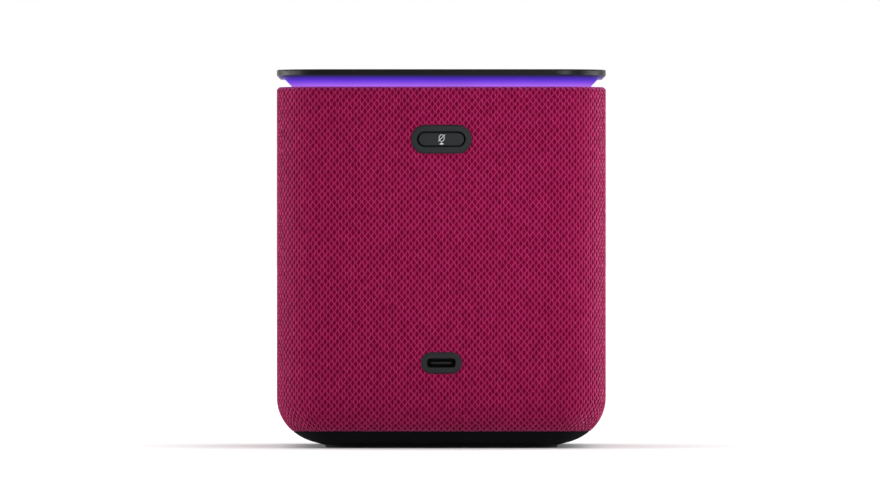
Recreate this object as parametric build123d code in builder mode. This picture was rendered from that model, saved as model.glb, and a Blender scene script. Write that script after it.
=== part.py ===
from build123d import *
from math import asin, atan, cos, degrees, radians, sin, tan
import os

# Fabric-covered smart speaker with a floating touch panel, a light gap under it,
# a microphone mute button and a USB-C power inlet on the back.
# Millimetres. +Z is up, the front faces -Y, the back (button and inlet) faces +Y.
# The origin is on the floor, under the middle of the body.

os.makedirs("parts", exist_ok=True)


def save(piece, label):
    """Label a finished piece and write it as one STEP file."""
    piece.part.label = label
    export_step(piece.part, f"parts/{label}.step")


# ---------------------------------------------------------------- driving dimensions
WIDTH = 110.0               # side of the rounded-square plan
HEIGHT = 126.4              # floor to top panel
CORNER_R = 16.8             # plan corner radius
HALF = WIDTH / 2

# The side wall turns under along a quarter ellipse, then runs straight to the foot.
CURVE_OUT = 17.1            # horizontal semi-axis
CURVE_UP = 15.46            # vertical semi-axis
CURVE_Z = 16.74             # height where the wall starts to turn under
UNDERSIDE_SLOPE = 15.0      # degrees, the last run of the underside
FOOT_INSET = 16.0           # from the side wall to the flat underside

SEAM_Z = 5.6                # lower hem of the fabric
FABRIC_TOP_Z = 120.6
PANEL_Z = 124.15            # underside of the top panel, over the light gap

# ---- fabric and the frame under it
FABRIC_T = 0.9
FABRIC_EDGE_R = 1.1
FABRIC_LIP = 2.4            # how far the fabric folds over the frame's top
HEM_LIP = 9.0               # how far the hem folds under the frame's foot
HEM_T = 0.35
FIT = 0.05                  # gap between pieces that are stacked or glued
FRAME_T = 1.8
FRAME_OUT = FABRIC_T + FIT
FRAME_IN = FRAME_OUT + FRAME_T
FRAME_LEDGE_Z = 114.4       # top of the inner ledge that carries the top frame
FRAME_LEDGE_T = 2.0
FRAME_LEDGE_IN = 6.0
CUT_DEPTH = 6.0             # cuts that go right through a wall run this deep
SLOT_W = 3.0
SLOT_L = 26.0
SLOT_PITCH_X = 7.0
SLOT_PITCH_Z = 29.0
SLOT_COLUMNS = 11
SLOT_ROWS = 3
SLOT_MIDDLE_Z = 61.0

# ---- top panel, touch board and light ring
PANEL_TOP_R = 0.5
PANEL_LOW_R = 0.5
PANEL_SKIN = 1.2
PANEL_RIM = 7.5
TOUCH_HALF = 40.0
TOUCH_T = 1.0
MIC_PITCH = 68.0
MIC_HOLE_R = 0.6
HOOK_AT = 42.0              # snap hooks, from the centre to the middle of each hook
HOOK_W = 6.0
HOOK_T = 1.6
HOOK_BARB = 0.9
NECK_TOP = 1.8              # inset of the neck under the panel
NECK_LOW = 4.9              # inset of the neck at the bottom of the gap
NECK_BEND_Z = 121.0
NECK_FILLET = 0.35
GAP_FLOOR_Z = 120.0
GUIDE_LOW_Z = 118.6
GUIDE_OUT = 2.9
GUIDE_WALL_IN = 7.0
GUIDE_FLANGE_IN = 11.0
LED_BOARD_Z = 116.6
LED_BOARD_T = 1.2
LED_INSET = 7.5
LED_PITCH = 18.0
LEDS_PER_SIDE = 5
LED_W = 2.8
LED_D = 3.5
LED_T = 0.7
LED_BOARD_OUT = 4.0         # insets of the ring board's two edges
LED_BOARD_IN = 11.5

# ---- back: mute button
MUTE_Z = 103.05
BEZEL_PROUD = 0.15          # bezels stand this far out of the fabric
BEZEL_EDGE_R = 0.6
MUTE_BEZEL_W = 20.0
MUTE_BEZEL_H = 9.5
MUTE_BEZEL_R = 4.4
BUTTON_W = 15.15
BUTTON_H = 4.2
GROOVE = 0.55
FULL_ROUND = 0.01           # a fully round end is kept this much under half its height
MUTE_FLANGE_W = 26.5        # flange of the bezel, behind the frame
MUTE_FLANGE_H = 13.4
MUTE_FLANGE_R = 5.0
BUTTON_FLANGE_W = 17.4      # flange that keeps the button in, and its pocket in the bezel
BUTTON_FLANGE_H = 6.4
BUTTON_FLANGE_R = 2.8
BUTTON_ROOM = 0.5
MUTE_POST_X = 11.0
MUTE_POST_R = 1.7
MUTE_BOARD_Y = 46.0         # face of the board that carries the switch
MUTE_BOARD_W = 26.0
MUTE_BOARD_H = 12.0
MUTE_BOARD_T = 1.2
SWITCH_SIDE = 4.5
SWITCH_T = 2.0
PLUNGER_R = 0.9
PLUNGER_L = 0.7

# ---- back: USB-C inlet
PORT_Z = 28.55
PORT_BEZEL_W = 13.5
PORT_BEZEL_H = 7.1
PORT_BEZEL_R = 3.3
PORT_MOUTH_W = 9.5
PORT_MOUTH_H = 3.1
PORT_MOUTH_R = 1.1
SHELL_W = 8.94
SHELL_H = 3.26
SHELL_T = 0.3
SHELL_R = 1.6
SHELL_ROOM = 0.1            # between the shell and the bezel behind the mouth
SHELL_FRONT_Y = 53.6
SHELL_BACK_Y = 46.3
TONGUE_W = 6.69
TONGUE_T = 0.7
TONGUE_FRONT_Y = 52.8

# ---- acoustic enclosure
TUB_W = 84.0
TUB_D = 78.0
TUB_R = 10.0
TUB_WALL = 2.5
TUB_Z = 9.5
TUB_TOP_Z = 94.5
TUB_FRONT_Y = -42.0
TUB_MIDDLE_Y = TUB_FRONT_Y + TUB_D / 2
TUB_BACK_Y = TUB_FRONT_Y + TUB_D
GASKET_T = 0.8
LID_Z = TUB_TOP_Z + GASKET_T
LID_T = 2.5
LID_TOP_Z = LID_Z + LID_T

# ---- drivers
WOOFER_Z = 51.0
WOOFER_FLANGE = 68.0
WOOFER_FLANGE_T = 2.5
WOOFER_SCREW_AT = 28.5
WOOFER_HOLE_R = 31.0
RADIATOR_Z = 48.0
RADIATOR_FLANGE = 56.0
RADIATOR_FLANGE_T = 2.0
RADIATOR_SCREW_AT = 23.5
RADIATOR_HOLE_R = 25.0
RADIATOR_MOUTH_R = 23.5
RADIATOR_COLLAR_R = 24.8
RADIATOR_COLLAR_L = 4.5
PLATE_R = 17.0
PLATE_T = 1.6
TWEETER_X = 22.0
TWEETER_Z = 105.8
TWEETER_FRONT_Y = -47.5
TWEETER_W = 18.0
TWEETER_H = 16.0
TWEETER_D = 12.5
TWEETER_WELL_R = 7.0
TWEETER_WELL = 10.5
TWEETER_MAGNET_R = 6.6
TWEETER_MAGNET_T = 7.0
TWEETER_GAP_OUT_R = 5.6
TWEETER_GAP_IN_R = 4.3
TWEETER_GAP_DEPTH = 3.5

# ---- boards
MAIN_BOARD_Z = 101.0
BOARD_T = 1.6
BOARD_R = 1.0               # corners of the small boards
MAIN_BOARD_W = 65.0
MAIN_BOARD_D = 62.0
MAIN_BOARD_Y = 3.0
BOARD_SCREW_X = 28.0
BOARD_SCREW_PITCH_Y = 54.0

# ---- fasteners
M3_R = 1.45
M3_HEAD_R = 2.7
M3_HEAD = 2.0
M2_R = 0.95
M2_HEAD_R = 1.8
M2_HEAD = 1.3
PILOT = 0.03                # radial room of a screw in its hole
CASE_SCREW_L = 10.0
DRIVER_SCREW_L = 8.0
SMALL_SCREW_L = 5.0
BASE_SCREW_X = 30.0
BASE_SCREW_PITCH_Y = 54.0
BASE_SEAT_Z = 3.6           # where the heads of the base screws sit
TOP_POST_X = 37.0
TOP_POST_PITCH_Y = 68.0

# ---------------------------------------------------------------- shared geometry
BACK = Plane(origin=(0, HALF, 0), x_dir=(-1, 0, 0), z_dir=(0, 1, 0))


def body_path():
    """Closed path round the side wall, from the middle of the +X side."""
    run = HALF - CORNER_R
    with BuildLine() as path:
        side = Line((HALF, 0), (HALF, run))
        for length in (2 * run, 2 * run, 2 * run, run):
            corner = JernArc(side @ 1, side % 1, CORNER_R, 90)
            side = PolarLine(corner @ 1, length, direction=corner % 1)
    return path.wire()


BODY_PATH = body_path()


def wall_curve(inset, low_z):
    """Lower curve of a wall that runs inset from the outside, from low_z up to CURVE_Z."""
    up = CURVE_UP - inset
    start = degrees(asin((low_z - CURVE_Z) / up))
    centre = (HALF - CURVE_OUT, CURVE_Z)
    return EllipticalCenterArc(centre, CURVE_OUT - inset, up, start_angle=start, arc_size=-start)


def body_outline(inset, low_z):
    """Plan outline of the body, moved inwards by inset, as a sketch at low_z."""
    side = WIDTH - 2 * inset
    with BuildSketch(Plane.XY.offset(low_z)) as outline:
        RectangleRounded(side, side, max(CORNER_R - inset, 1.0))
    return outline.sketch


def tub_outline(inset, low_z):
    """Plan outline of the acoustic enclosure, moved inwards by inset, as a sketch at low_z."""
    with BuildSketch(Plane.XY.offset(low_z)) as outline:
        with Locations((0, TUB_MIDDLE_Y)):
            RectangleRounded(TUB_W - 2 * inset, TUB_D - 2 * inset, TUB_R - inset)
    return outline.sketch


def station(origin, outward):
    """Section plane of a round driver: local x points out of the box, local y is the radius."""
    outward = Vector(*outward)
    return Plane(origin, x_dir=outward, z_dir=outward.cross(Vector(0, 0, 1)))


def driver_axis(place):
    return Axis(place.origin, place.x_dir)


def turned(place, *points):
    """Closed half-section of a round piece. Each point is (distance out, radius)."""
    with BuildSketch(place) as half:
        with BuildLine():
            Polyline(*points, close=True)
        make_face()
    return half.sketch


def dome_section(place, apex, rim, rim_r, thickness):
    """Half-section of a shallow dome from its apex on the axis to its rim."""
    with BuildSketch(place) as half:
        with BuildLine():
            outer = TangentArc((apex, 0), (rim, rim_r), tangent=(0, 1))
            inner = TangentArc((apex - thickness, 0), (rim, rim_r - thickness), tangent=(0, 1))
            Line(outer @ 1, inner @ 1)
            Line(outer @ 0, inner @ 0)
        make_face()
    return half.sketch


def roll_section(place, face, middle_r, roll_r, land, thickness=0.5):
    """Half-section of a rubber surround: a half roll between two flat glued lands."""
    inner_r = middle_r - roll_r
    outer_r = middle_r + roll_r
    with BuildSketch(place) as half:
        with Locations((face, middle_r)):
            Circle(roll_r)
            Circle(roll_r - thickness, mode=Mode.SUBTRACT)
            Rectangle(roll_r, 2 * roll_r, align=(Align.MAX, Align.CENTER), mode=Mode.SUBTRACT)
        with Locations((face, outer_r - thickness)):
            Rectangle(thickness, land + thickness, align=(Align.MIN, Align.MIN))
        with Locations((face, inner_r + thickness)):
            Rectangle(thickness, land + thickness, align=(Align.MIN, Align.MAX))
    return half.sketch


def screw(shank_r, length, head_r, head):
    """Pan-head screw, head up, with the underside of its head at the origin."""
    with BuildPart() as piece:
        Cylinder(head_r, head, align=(Align.CENTER, Align.CENTER, Align.MIN))
        fillet(piece.faces().sort_by(Axis.Z)[-1].edges(), head * 0.35)
        Cylinder(shank_r, length, align=(Align.CENTER, Align.CENTER, Align.MAX))
        with BuildSketch(Plane.XY.offset(head)):
            Rectangle(head_r, head_r * 0.25)
            Rectangle(head_r * 0.25, head_r)
        extrude(amount=-head * 0.5, mode=Mode.SUBTRACT)
    return piece.part


WOOFER = station((0, TUB_FRONT_Y, WOOFER_Z), (0, -1, 0))
RADIATORS = {
    "left": station((-TUB_W / 2, TUB_MIDDLE_Y, RADIATOR_Z), (-1, 0, 0)),
    "right": station((TUB_W / 2, TUB_MIDDLE_Y, RADIATOR_Z), (1, 0, 0)),
}
TWEETERS = {
    "left": station((-TWEETER_X, TWEETER_FRONT_Y, TWEETER_Z), (0, -1, 0)),
    "right": station((TWEETER_X, TWEETER_FRONT_Y, TWEETER_Z), (0, -1, 0)),
}


def face_of(place):
    """Plane on a driver's mounting face, looking outwards, with local y up."""
    return Plane(place.origin, x_dir=Vector(0, 0, 1).cross(place.x_dir), z_dir=place.x_dir)


# ---------------------------------------------------------------- fabric sleeve
with BuildPart() as fabric_sleeve:
    with BuildSketch(Plane.XZ):
        with BuildLine():
            outer = wall_curve(0, SEAM_Z)
            side = Line(outer @ 1, (HALF, FABRIC_TOP_Z - FABRIC_EDGE_R))
            edge = JernArc(side @ 1, (0, 1), FABRIC_EDGE_R, 90)
            inner = wall_curve(FABRIC_T, SEAM_Z + HEM_T)
            Polyline(
                edge @ 1,
                (HALF - FABRIC_LIP, FABRIC_TOP_Z),
                (HALF - FABRIC_LIP, FABRIC_TOP_Z - FABRIC_T),
                (HALF - FABRIC_T, FABRIC_TOP_Z - FABRIC_T),
                inner @ 1,
            )
            Polyline(
                inner @ 0,
                (HALF - HEM_LIP, SEAM_Z + HEM_T),
                (HALF - HEM_LIP, SEAM_Z),
                outer @ 0,
            )
        make_face()
    sweep(path=BODY_PATH)
    with BuildSketch(BACK.offset(1)):
        with Locations((0, MUTE_Z)):
            RectangleRounded(MUTE_BEZEL_W + 2 * FIT, MUTE_BEZEL_H + 2 * FIT, MUTE_BEZEL_R)
        with Locations((0, PORT_Z)):
            RectangleRounded(PORT_BEZEL_W + 2 * FIT, PORT_BEZEL_H + 2 * FIT, PORT_BEZEL_R)
    extrude(amount=-CUT_DEPTH, mode=Mode.SUBTRACT)
save(fabric_sleeve, "fabric_sleeve")

# ---------------------------------------------------------------- grille frame
FRAME_LOW_Z = SEAM_Z + HEM_T + FIT
FRAME_TOP_Z = FABRIC_TOP_Z - FABRIC_T - FIT
with BuildPart() as grille_frame:
    with BuildSketch(Plane.XZ):
        with BuildLine():
            outer = wall_curve(FRAME_OUT, FRAME_LOW_Z)
            inner = wall_curve(FRAME_IN, FRAME_LOW_Z)
            Polyline(
                outer @ 1,
                (HALF - FRAME_OUT, FRAME_TOP_Z),
                (HALF - FRAME_IN, FRAME_TOP_Z),
                (HALF - FRAME_IN, FRAME_LEDGE_Z),
                (HALF - FRAME_LEDGE_IN, FRAME_LEDGE_Z),
                (HALF - FRAME_LEDGE_IN, FRAME_LEDGE_Z - FRAME_LEDGE_T),
                (HALF - FRAME_IN, FRAME_LEDGE_Z - 2 * FRAME_LEDGE_T),
                inner @ 1,
            )
            Line(inner @ 0, outer @ 0)
        make_face()
    sweep(path=BODY_PATH)
    # sound slots: front wall, then both side walls
    with BuildSketch(Plane.XZ.offset(HALF)):
        with Locations((0, SLOT_MIDDLE_Z)):
            with GridLocations(SLOT_PITCH_X, SLOT_PITCH_Z, SLOT_COLUMNS, SLOT_ROWS):
                SlotOverall(SLOT_L, SLOT_W, rotation=90)
    extrude(amount=-CUT_DEPTH, mode=Mode.SUBTRACT)
    with BuildSketch(Plane.YZ):
        with Locations((0, SLOT_MIDDLE_Z)):
            with GridLocations(SLOT_PITCH_X, SLOT_PITCH_Z, SLOT_COLUMNS, SLOT_ROWS):
                SlotOverall(SLOT_L, SLOT_W, rotation=90)
    extrude(amount=HALF, both=True, mode=Mode.SUBTRACT)
    # openings for the two bezels in the back wall
    with BuildSketch(BACK.offset(1)):
        with Locations((0, MUTE_Z)):
            RectangleRounded(MUTE_BEZEL_W + 4 * FIT, MUTE_BEZEL_H + 4 * FIT, MUTE_BEZEL_R)
        with Locations((0, PORT_Z)):
            RectangleRounded(PORT_BEZEL_W + 4 * FIT, PORT_BEZEL_H + 4 * FIT, PORT_BEZEL_R)
    extrude(amount=-CUT_DEPTH, mode=Mode.SUBTRACT)
save(grille_frame, "grille_frame")

# ---------------------------------------------------------------- base and foot
BASE_TOP_Z = SEAM_Z - 2 * FIT
BASE_INSET = 0.1
BASE_FLOOR_TOP_Z = 3.3
SPIGOT_OUT = 9.8            # the ring that stands up inside the grille frame
SPIGOT_IN = 12.0
SPIGOT_TOP_Z = 9.0
BASE_POST_R = 4.5
base_up = CURVE_UP - BASE_INSET
base_out = CURVE_OUT - BASE_INSET
turn_angle = degrees(atan(base_up / (base_out * tan(radians(UNDERSIDE_SLOPE)))))
turn_inset = CURVE_OUT - base_out * cos(radians(turn_angle))
turn_z = CURVE_Z - base_up * sin(radians(turn_angle))
UNDERSIDE_Z = turn_z - (FOOT_INSET - turn_inset) * tan(radians(UNDERSIDE_SLOPE))
with BuildPart() as base:
    with BuildSketch(Plane.XZ):
        with BuildLine():
            seam_angle = degrees(asin((BASE_TOP_Z - CURVE_Z) / base_up))
            under = EllipticalCenterArc(
                (HALF - CURVE_OUT, CURVE_Z),
                base_out,
                base_up,
                start_angle=-turn_angle,
                arc_size=turn_angle + seam_angle,
            )
            Polyline(
                under @ 1,
                (HALF - SPIGOT_OUT, BASE_TOP_Z),
                (HALF - SPIGOT_OUT, SPIGOT_TOP_Z),
                (HALF - SPIGOT_IN, SPIGOT_TOP_Z),
                (HALF - SPIGOT_IN, BASE_FLOOR_TOP_Z),
                (HALF - FOOT_INSET, BASE_FLOOR_TOP_Z),
                (HALF - FOOT_INSET, UNDERSIDE_Z),
                under @ 0,
            )
        make_face()
    sweep(path=BODY_PATH)
    floor_side = WIDTH - 2 * FOOT_INSET
    with BuildSketch(Plane.XY.offset(UNDERSIDE_Z)):
        RectangleRounded(floor_side, floor_side, CORNER_R - FOOT_INSET)
    extrude(amount=BASE_FLOOR_TOP_Z - UNDERSIDE_Z)
    with BuildSketch(Plane.XY.offset(BASE_FLOOR_TOP_Z - FIT)):
        with Locations((0, TUB_MIDDLE_Y)):
            with GridLocations(2 * BASE_SCREW_X, BASE_SCREW_PITCH_Y, 2, 2):
                Circle(BASE_POST_R)
    extrude(amount=TUB_Z - BASE_FLOOR_TOP_Z)
    with Locations((0, TUB_MIDDLE_Y, UNDERSIDE_Z)):
        with GridLocations(2 * BASE_SCREW_X, BASE_SCREW_PITCH_Y, 2, 2):
            head_room = BASE_SEAT_Z - UNDERSIDE_Z
            with Locations(Location((0, 0, 0), (180, 0, 0))):
                CounterBoreHole(M3_R + PILOT, M3_HEAD_R + 0.2, head_room)
save(base, "base")

FOOT_SIDE = WIDTH - 2 * FOOT_INSET - 0.2
FOOT_R = 12.0
with BuildPart() as foot:
    with BuildSketch():
        RectangleRounded(FOOT_SIDE, FOOT_SIDE, FOOT_R)
    extrude(amount=UNDERSIDE_Z)
    fillet(foot.faces().sort_by(Axis.Z)[0].edges(), 0.25)
save(foot, "foot")

# ---------------------------------------------------------------- top panel
with BuildPart() as top_panel:
    extrude(body_outline(0, PANEL_Z), amount=HEIGHT - PANEL_Z)
    fillet(top_panel.faces().sort_by(Axis.Z)[-1].edges(), PANEL_TOP_R)
    fillet(top_panel.faces().sort_by(Axis.Z)[0].edges(), PANEL_LOW_R)
    cavity_depth = HEIGHT - PANEL_Z - PANEL_SKIN
    extrude(body_outline(PANEL_RIM, PANEL_Z), amount=cavity_depth, mode=Mode.SUBTRACT)
    # microphone sound holes
    with BuildSketch(Plane.XY.offset(HEIGHT)):
        with GridLocations(MIC_PITCH, MIC_PITCH, 2, 2):
            Circle(MIC_HOLE_R)
    extrude(amount=-2 * PANEL_SKIN, mode=Mode.SUBTRACT)
    # snap hooks that reach down through the top frame, one at the middle of each side
    hook_in = HOOK_AT - HOOK_T / 2
    hook_out = HOOK_AT + HOOK_T / 2
    hook_low = FRAME_LEDGE_Z - 1.0
    for section in (Plane.YZ, Plane.XZ):
        for way in (1, -1):
            with BuildSketch(section):
                with BuildLine():
                    Polyline(
                        (way * hook_in, HEIGHT - PANEL_SKIN),
                        (way * hook_out, HEIGHT - PANEL_SKIN),
                        (way * hook_out, FRAME_LEDGE_Z - FIT),
                        (way * (hook_out + HOOK_BARB), FRAME_LEDGE_Z - FIT),
                        (way * hook_out, hook_low),
                        (way * hook_in, hook_low),
                        close=True,
                    )
                make_face()
            extrude(amount=HOOK_W / 2, both=True)
save(top_panel, "top_panel")

# ---------------------------------------------------------------- touch board and microphones
TOUCH_Z = PANEL_Z - 0.6         # underside of the touch board
TOUCH_TOP_Z = TOUCH_Z + TOUCH_T
MIC_W = 3.5
MIC_D = 2.65
MIC_H = 1.0
with BuildPart() as touch_board:
    with BuildSketch(Plane.XY.offset(TOUCH_Z)):
        RectangleRounded(2 * TOUCH_HALF, 2 * TOUCH_HALF, 6)
        with GridLocations(MIC_PITCH, MIC_PITCH, 2, 2):
            Circle(0.4, mode=Mode.SUBTRACT)
    extrude(amount=TOUCH_T)
save(touch_board, "touch_board")

with BuildPart() as microphones:
    with Locations((0, 0, TOUCH_Z - FIT)):
        with GridLocations(MIC_PITCH, MIC_PITCH, 2, 2):
            Box(MIC_W, MIC_D, MIC_H, align=(Align.CENTER, Align.CENTER, Align.MAX))
save(microphones, "microphones")

with BuildPart() as mic_gaskets:
    with BuildSketch(Plane.XY.offset(TOUCH_TOP_Z)):
        with GridLocations(MIC_PITCH, MIC_PITCH, 2, 2):
            Circle(2.5)
            Circle(0.8, mode=Mode.SUBTRACT)
    extrude(amount=HEIGHT - PANEL_SKIN - TOUCH_TOP_Z)
save(mic_gaskets, "mic_gaskets")

# ---------------------------------------------------------------- light guide, LED board, LEDs
with BuildPart() as light_guide:
    with BuildSketch(Plane.XZ) as guide_section:
        with BuildLine():
            Polyline(
                (HALF - GUIDE_OUT, GUIDE_LOW_Z),
                (HALF - GUIDE_OUT, GAP_FLOOR_Z),
                (HALF - NECK_LOW, GAP_FLOOR_Z),
                (HALF - NECK_LOW, NECK_BEND_Z),
                (HALF - NECK_TOP, PANEL_Z),
                (HALF - GUIDE_WALL_IN, PANEL_Z),
                (HALF - GUIDE_WALL_IN, GAP_FLOOR_Z),
                (HALF - GUIDE_FLANGE_IN, GAP_FLOOR_Z),
                (HALF - GUIDE_FLANGE_IN, GUIDE_LOW_Z),
                close=True,
            )
        make_face()
        neck_corners = guide_section.vertices().filter_by_position(
            Axis.X, HALF - NECK_LOW - FIT, HALF - NECK_LOW + FIT
        )
        fillet(neck_corners, NECK_FILLET)
    sweep(path=BODY_PATH)
save(light_guide, "light_guide")

with BuildPart() as led_board:
    extrude(body_outline(LED_BOARD_OUT, LED_BOARD_Z), amount=LED_BOARD_T)
    extrude(body_outline(LED_BOARD_IN, LED_BOARD_Z), amount=LED_BOARD_T, mode=Mode.SUBTRACT)
save(led_board, "led_board")

with BuildPart() as leds:
    with Locations((0, 0, LED_BOARD_Z + LED_BOARD_T)):
        with PolarLocations(0, 4):
            with Locations((HALF - LED_INSET, 0)):
                with GridLocations(0, LED_PITCH, 1, LEDS_PER_SIDE):
                    Box(LED_W, LED_D, LED_T, align=(Align.CENTER, Align.CENTER, Align.MIN))
save(leds, "leds")

# ---------------------------------------------------------------- top frame
FRAME_OPENING = 44.0
with BuildPart() as top_frame:
    extrude(body_outline(FRAME_IN + 0.4, FRAME_LEDGE_Z), amount=LED_BOARD_Z - FRAME_LEDGE_Z)
    with BuildSketch(Plane.XY.offset(FRAME_LEDGE_Z)):
        RectangleRounded(FRAME_OPENING, FRAME_OPENING, 6)
        with Locations((0, TUB_MIDDLE_Y)):
            with GridLocations(2 * TOP_POST_X, TOP_POST_PITCH_Y, 2, 2):
                Circle(M3_R + PILOT)
        with PolarLocations(HOOK_AT + HOOK_BARB / 2, 4):
            Rectangle(HOOK_T + HOOK_BARB + 1, HOOK_W + 1)
    extrude(amount=LED_BOARD_Z - FRAME_LEDGE_Z, mode=Mode.SUBTRACT)
save(top_frame, "top_frame")

# ---------------------------------------------------------------- mute button group
FLANGE_FACE = -(HALF - 52.2)        # where the bezel flanges meet the frame, on BACK
MUTE_FLANGE_T = 1.6
BUTTON_FLANGE_Y = 52.1
BUTTON_FLANGE_T = 1.0
MUTE_SCREW_DEPTH = 4.5
with BuildPart() as mute_bezel:
    with BuildSketch(BACK.offset(BEZEL_PROUD)):
        with Locations((0, MUTE_Z)):
            RectangleRounded(MUTE_BEZEL_W, MUTE_BEZEL_H, MUTE_BEZEL_R)
    extrude(amount=FLANGE_FACE - BEZEL_PROUD)
    fillet(mute_bezel.faces().sort_by(Axis.Y)[-1].edges(), BEZEL_EDGE_R)
    with BuildSketch(BACK.offset(FLANGE_FACE)):
        with Locations((0, MUTE_Z)):
            RectangleRounded(MUTE_FLANGE_W, MUTE_FLANGE_H, MUTE_FLANGE_R)
    extrude(amount=-MUTE_FLANGE_T)
    with BuildSketch(BACK.offset(FLANGE_FACE - MUTE_FLANGE_T)):
        with Locations((0, MUTE_Z)):
            with GridLocations(2 * MUTE_POST_X, 0, 2, 1):
                Circle(MUTE_POST_R)
    extrude(amount=-(HALF + FLANGE_FACE - MUTE_FLANGE_T - MUTE_BOARD_Y))
    with BuildSketch(BACK.offset(BEZEL_PROUD)):
        with Locations((0, MUTE_Z)):
            slot_h = BUTTON_H + 2 * GROOVE
            RectangleRounded(BUTTON_W + 2 * GROOVE, slot_h, slot_h / 2 - FULL_ROUND)
    extrude(amount=-CUT_DEPTH, mode=Mode.SUBTRACT)
    with BuildSketch(BACK.offset(FLANGE_FACE)):
        with Locations((0, MUTE_Z)):
            pocket_w = BUTTON_FLANGE_W + 2 * BUTTON_ROOM
            pocket_h = BUTTON_FLANGE_H + 2 * BUTTON_ROOM
            RectangleRounded(pocket_w, pocket_h, BUTTON_FLANGE_R + BUTTON_ROOM)
    extrude(amount=-CUT_DEPTH, mode=Mode.SUBTRACT)
    with BuildSketch(Plane.XZ.offset(-MUTE_BOARD_Y)):
        with Locations((0, MUTE_Z)):
            with GridLocations(2 * MUTE_POST_X, 0, 2, 1):
                Circle(M2_R + PILOT)
    extrude(amount=-MUTE_SCREW_DEPTH, mode=Mode.SUBTRACT)
save(mute_bezel, "mute_bezel")

STEM_R = 1.5
STEM_Y = 49.6
BUTTON_PROUD = 0.05
BUTTON_EDGE_R = 0.25
with BuildPart() as mute_button:
    with BuildSketch(BACK.offset(BUTTON_PROUD)):
        with Locations((0, MUTE_Z)):
            RectangleRounded(BUTTON_W, BUTTON_H, BUTTON_H / 2 - FULL_ROUND)
    extrude(amount=-(HALF + BUTTON_PROUD - BUTTON_FLANGE_Y))
    fillet(mute_button.faces().sort_by(Axis.Y)[-1].edges(), BUTTON_EDGE_R)
    with BuildSketch(Plane.XZ.offset(-BUTTON_FLANGE_Y)):
        with Locations((0, MUTE_Z)):
            RectangleRounded(BUTTON_FLANGE_W, BUTTON_FLANGE_H, BUTTON_FLANGE_R)
    extrude(amount=BUTTON_FLANGE_T)
    with BuildSketch(Plane.XZ.offset(-BUTTON_FLANGE_Y)):
        with Locations((0, MUTE_Z)):
            Circle(STEM_R)
    extrude(amount=BUTTON_FLANGE_Y - STEM_Y)
save(mute_button, "mute_button")

MUTE = station((0, 0, MUTE_Z), (0, 1, 0))
with BuildPart() as mute_dome:
    dome_outer = ((MUTE_BOARD_Y, 4.6), (46.8, 4.6), (48.6, 3.9), (51.05, 2.4))
    dome_inner = ((51.05, 1.8), (48.7, 3.3), (MUTE_BOARD_Y, 3.6))
    revolve(turned(MUTE, *dome_outer, *dome_inner), axis=driver_axis(MUTE))
save(mute_dome, "mute_dome")

with BuildPart() as mute_switch:
    with Locations((0, MUTE_BOARD_Y, MUTE_Z)):
        Box(SWITCH_SIDE, SWITCH_T, SWITCH_SIDE, align=(Align.CENTER, Align.MIN, Align.CENTER))
    with BuildSketch(Plane.XZ.offset(-MUTE_BOARD_Y - SWITCH_T)):
        with Locations((0, MUTE_Z)):
            Circle(PLUNGER_R)
    extrude(amount=-PLUNGER_L)
save(mute_switch, "mute_switch")

with BuildPart() as mute_board:
    with BuildSketch(Plane.XZ.offset(-MUTE_BOARD_Y)):
        with Locations((0, MUTE_Z)):
            RectangleRounded(MUTE_BOARD_W, MUTE_BOARD_H, BOARD_R)
            with GridLocations(2 * MUTE_POST_X, 0, 2, 1):
                Circle(M2_R + PILOT, mode=Mode.SUBTRACT)
    extrude(amount=MUTE_BOARD_T)
save(mute_board, "mute_board")

# ---------------------------------------------------------------- USB-C inlet group
POWER_BOARD_W = 28.0
POWER_BOARD_T = 1.2
POWER_BOARD_Z = PORT_Z - SHELL_H / 2 - POWER_BOARD_T - 0.02
POWER_BOARD_FRONT_Y = 50.0
POWER_BOARD_BACK_Y = 37.0
SHELF_X = 9.5
SHELF_SCREW_Y = 41.0
PORT_FLANGE_W = 18.0
PORT_FLANGE_H = 11.0
PORT_FLANGE_R = 4.0
PORT_FLANGE_T = 1.3
with BuildPart() as usb_bezel:
    with BuildSketch(BACK.offset(BEZEL_PROUD)):
        with Locations((0, PORT_Z)):
            RectangleRounded(PORT_BEZEL_W, PORT_BEZEL_H, PORT_BEZEL_R)
    extrude(amount=FLANGE_FACE - BEZEL_PROUD)
    fillet(usb_bezel.faces().sort_by(Axis.Y)[-1].edges(), BEZEL_EDGE_R)
    with BuildSketch(BACK.offset(FLANGE_FACE)):
        with Locations((0, PORT_Z)):
            RectangleRounded(PORT_FLANGE_W, PORT_FLANGE_H, PORT_FLANGE_R)
    extrude(amount=-PORT_FLANGE_T)
    with BuildSketch(BACK.offset(BEZEL_PROUD)):
        with Locations((0, PORT_Z)):
            RectangleRounded(PORT_MOUTH_W, PORT_MOUTH_H, PORT_MOUTH_R)
    extrude(amount=-CUT_DEPTH, mode=Mode.SUBTRACT)
    with BuildSketch(BACK.offset(SHELL_FRONT_Y + FIT - HALF)):
        with Locations((0, PORT_Z)):
            RectangleRounded(SHELL_W + 2 * SHELL_ROOM, SHELL_H + 2 * SHELL_ROOM, SHELL_R + SHELL_ROOM)
    extrude(amount=-CUT_DEPTH, mode=Mode.SUBTRACT)
save(usb_bezel, "usb_bezel")

with BuildPart() as usb_shell:
    with BuildSketch(Plane.XZ.offset(-SHELL_FRONT_Y)):
        with Locations((0, PORT_Z)):
            RectangleRounded(SHELL_W, SHELL_H, SHELL_R)
            bore_w = SHELL_W - 2 * SHELL_T
            bore_h = SHELL_H - 2 * SHELL_T
            RectangleRounded(bore_w, bore_h, SHELL_R - SHELL_T, mode=Mode.SUBTRACT)
    extrude(amount=SHELL_FRONT_Y - SHELL_BACK_Y)
save(usb_shell, "usb_shell")

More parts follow.
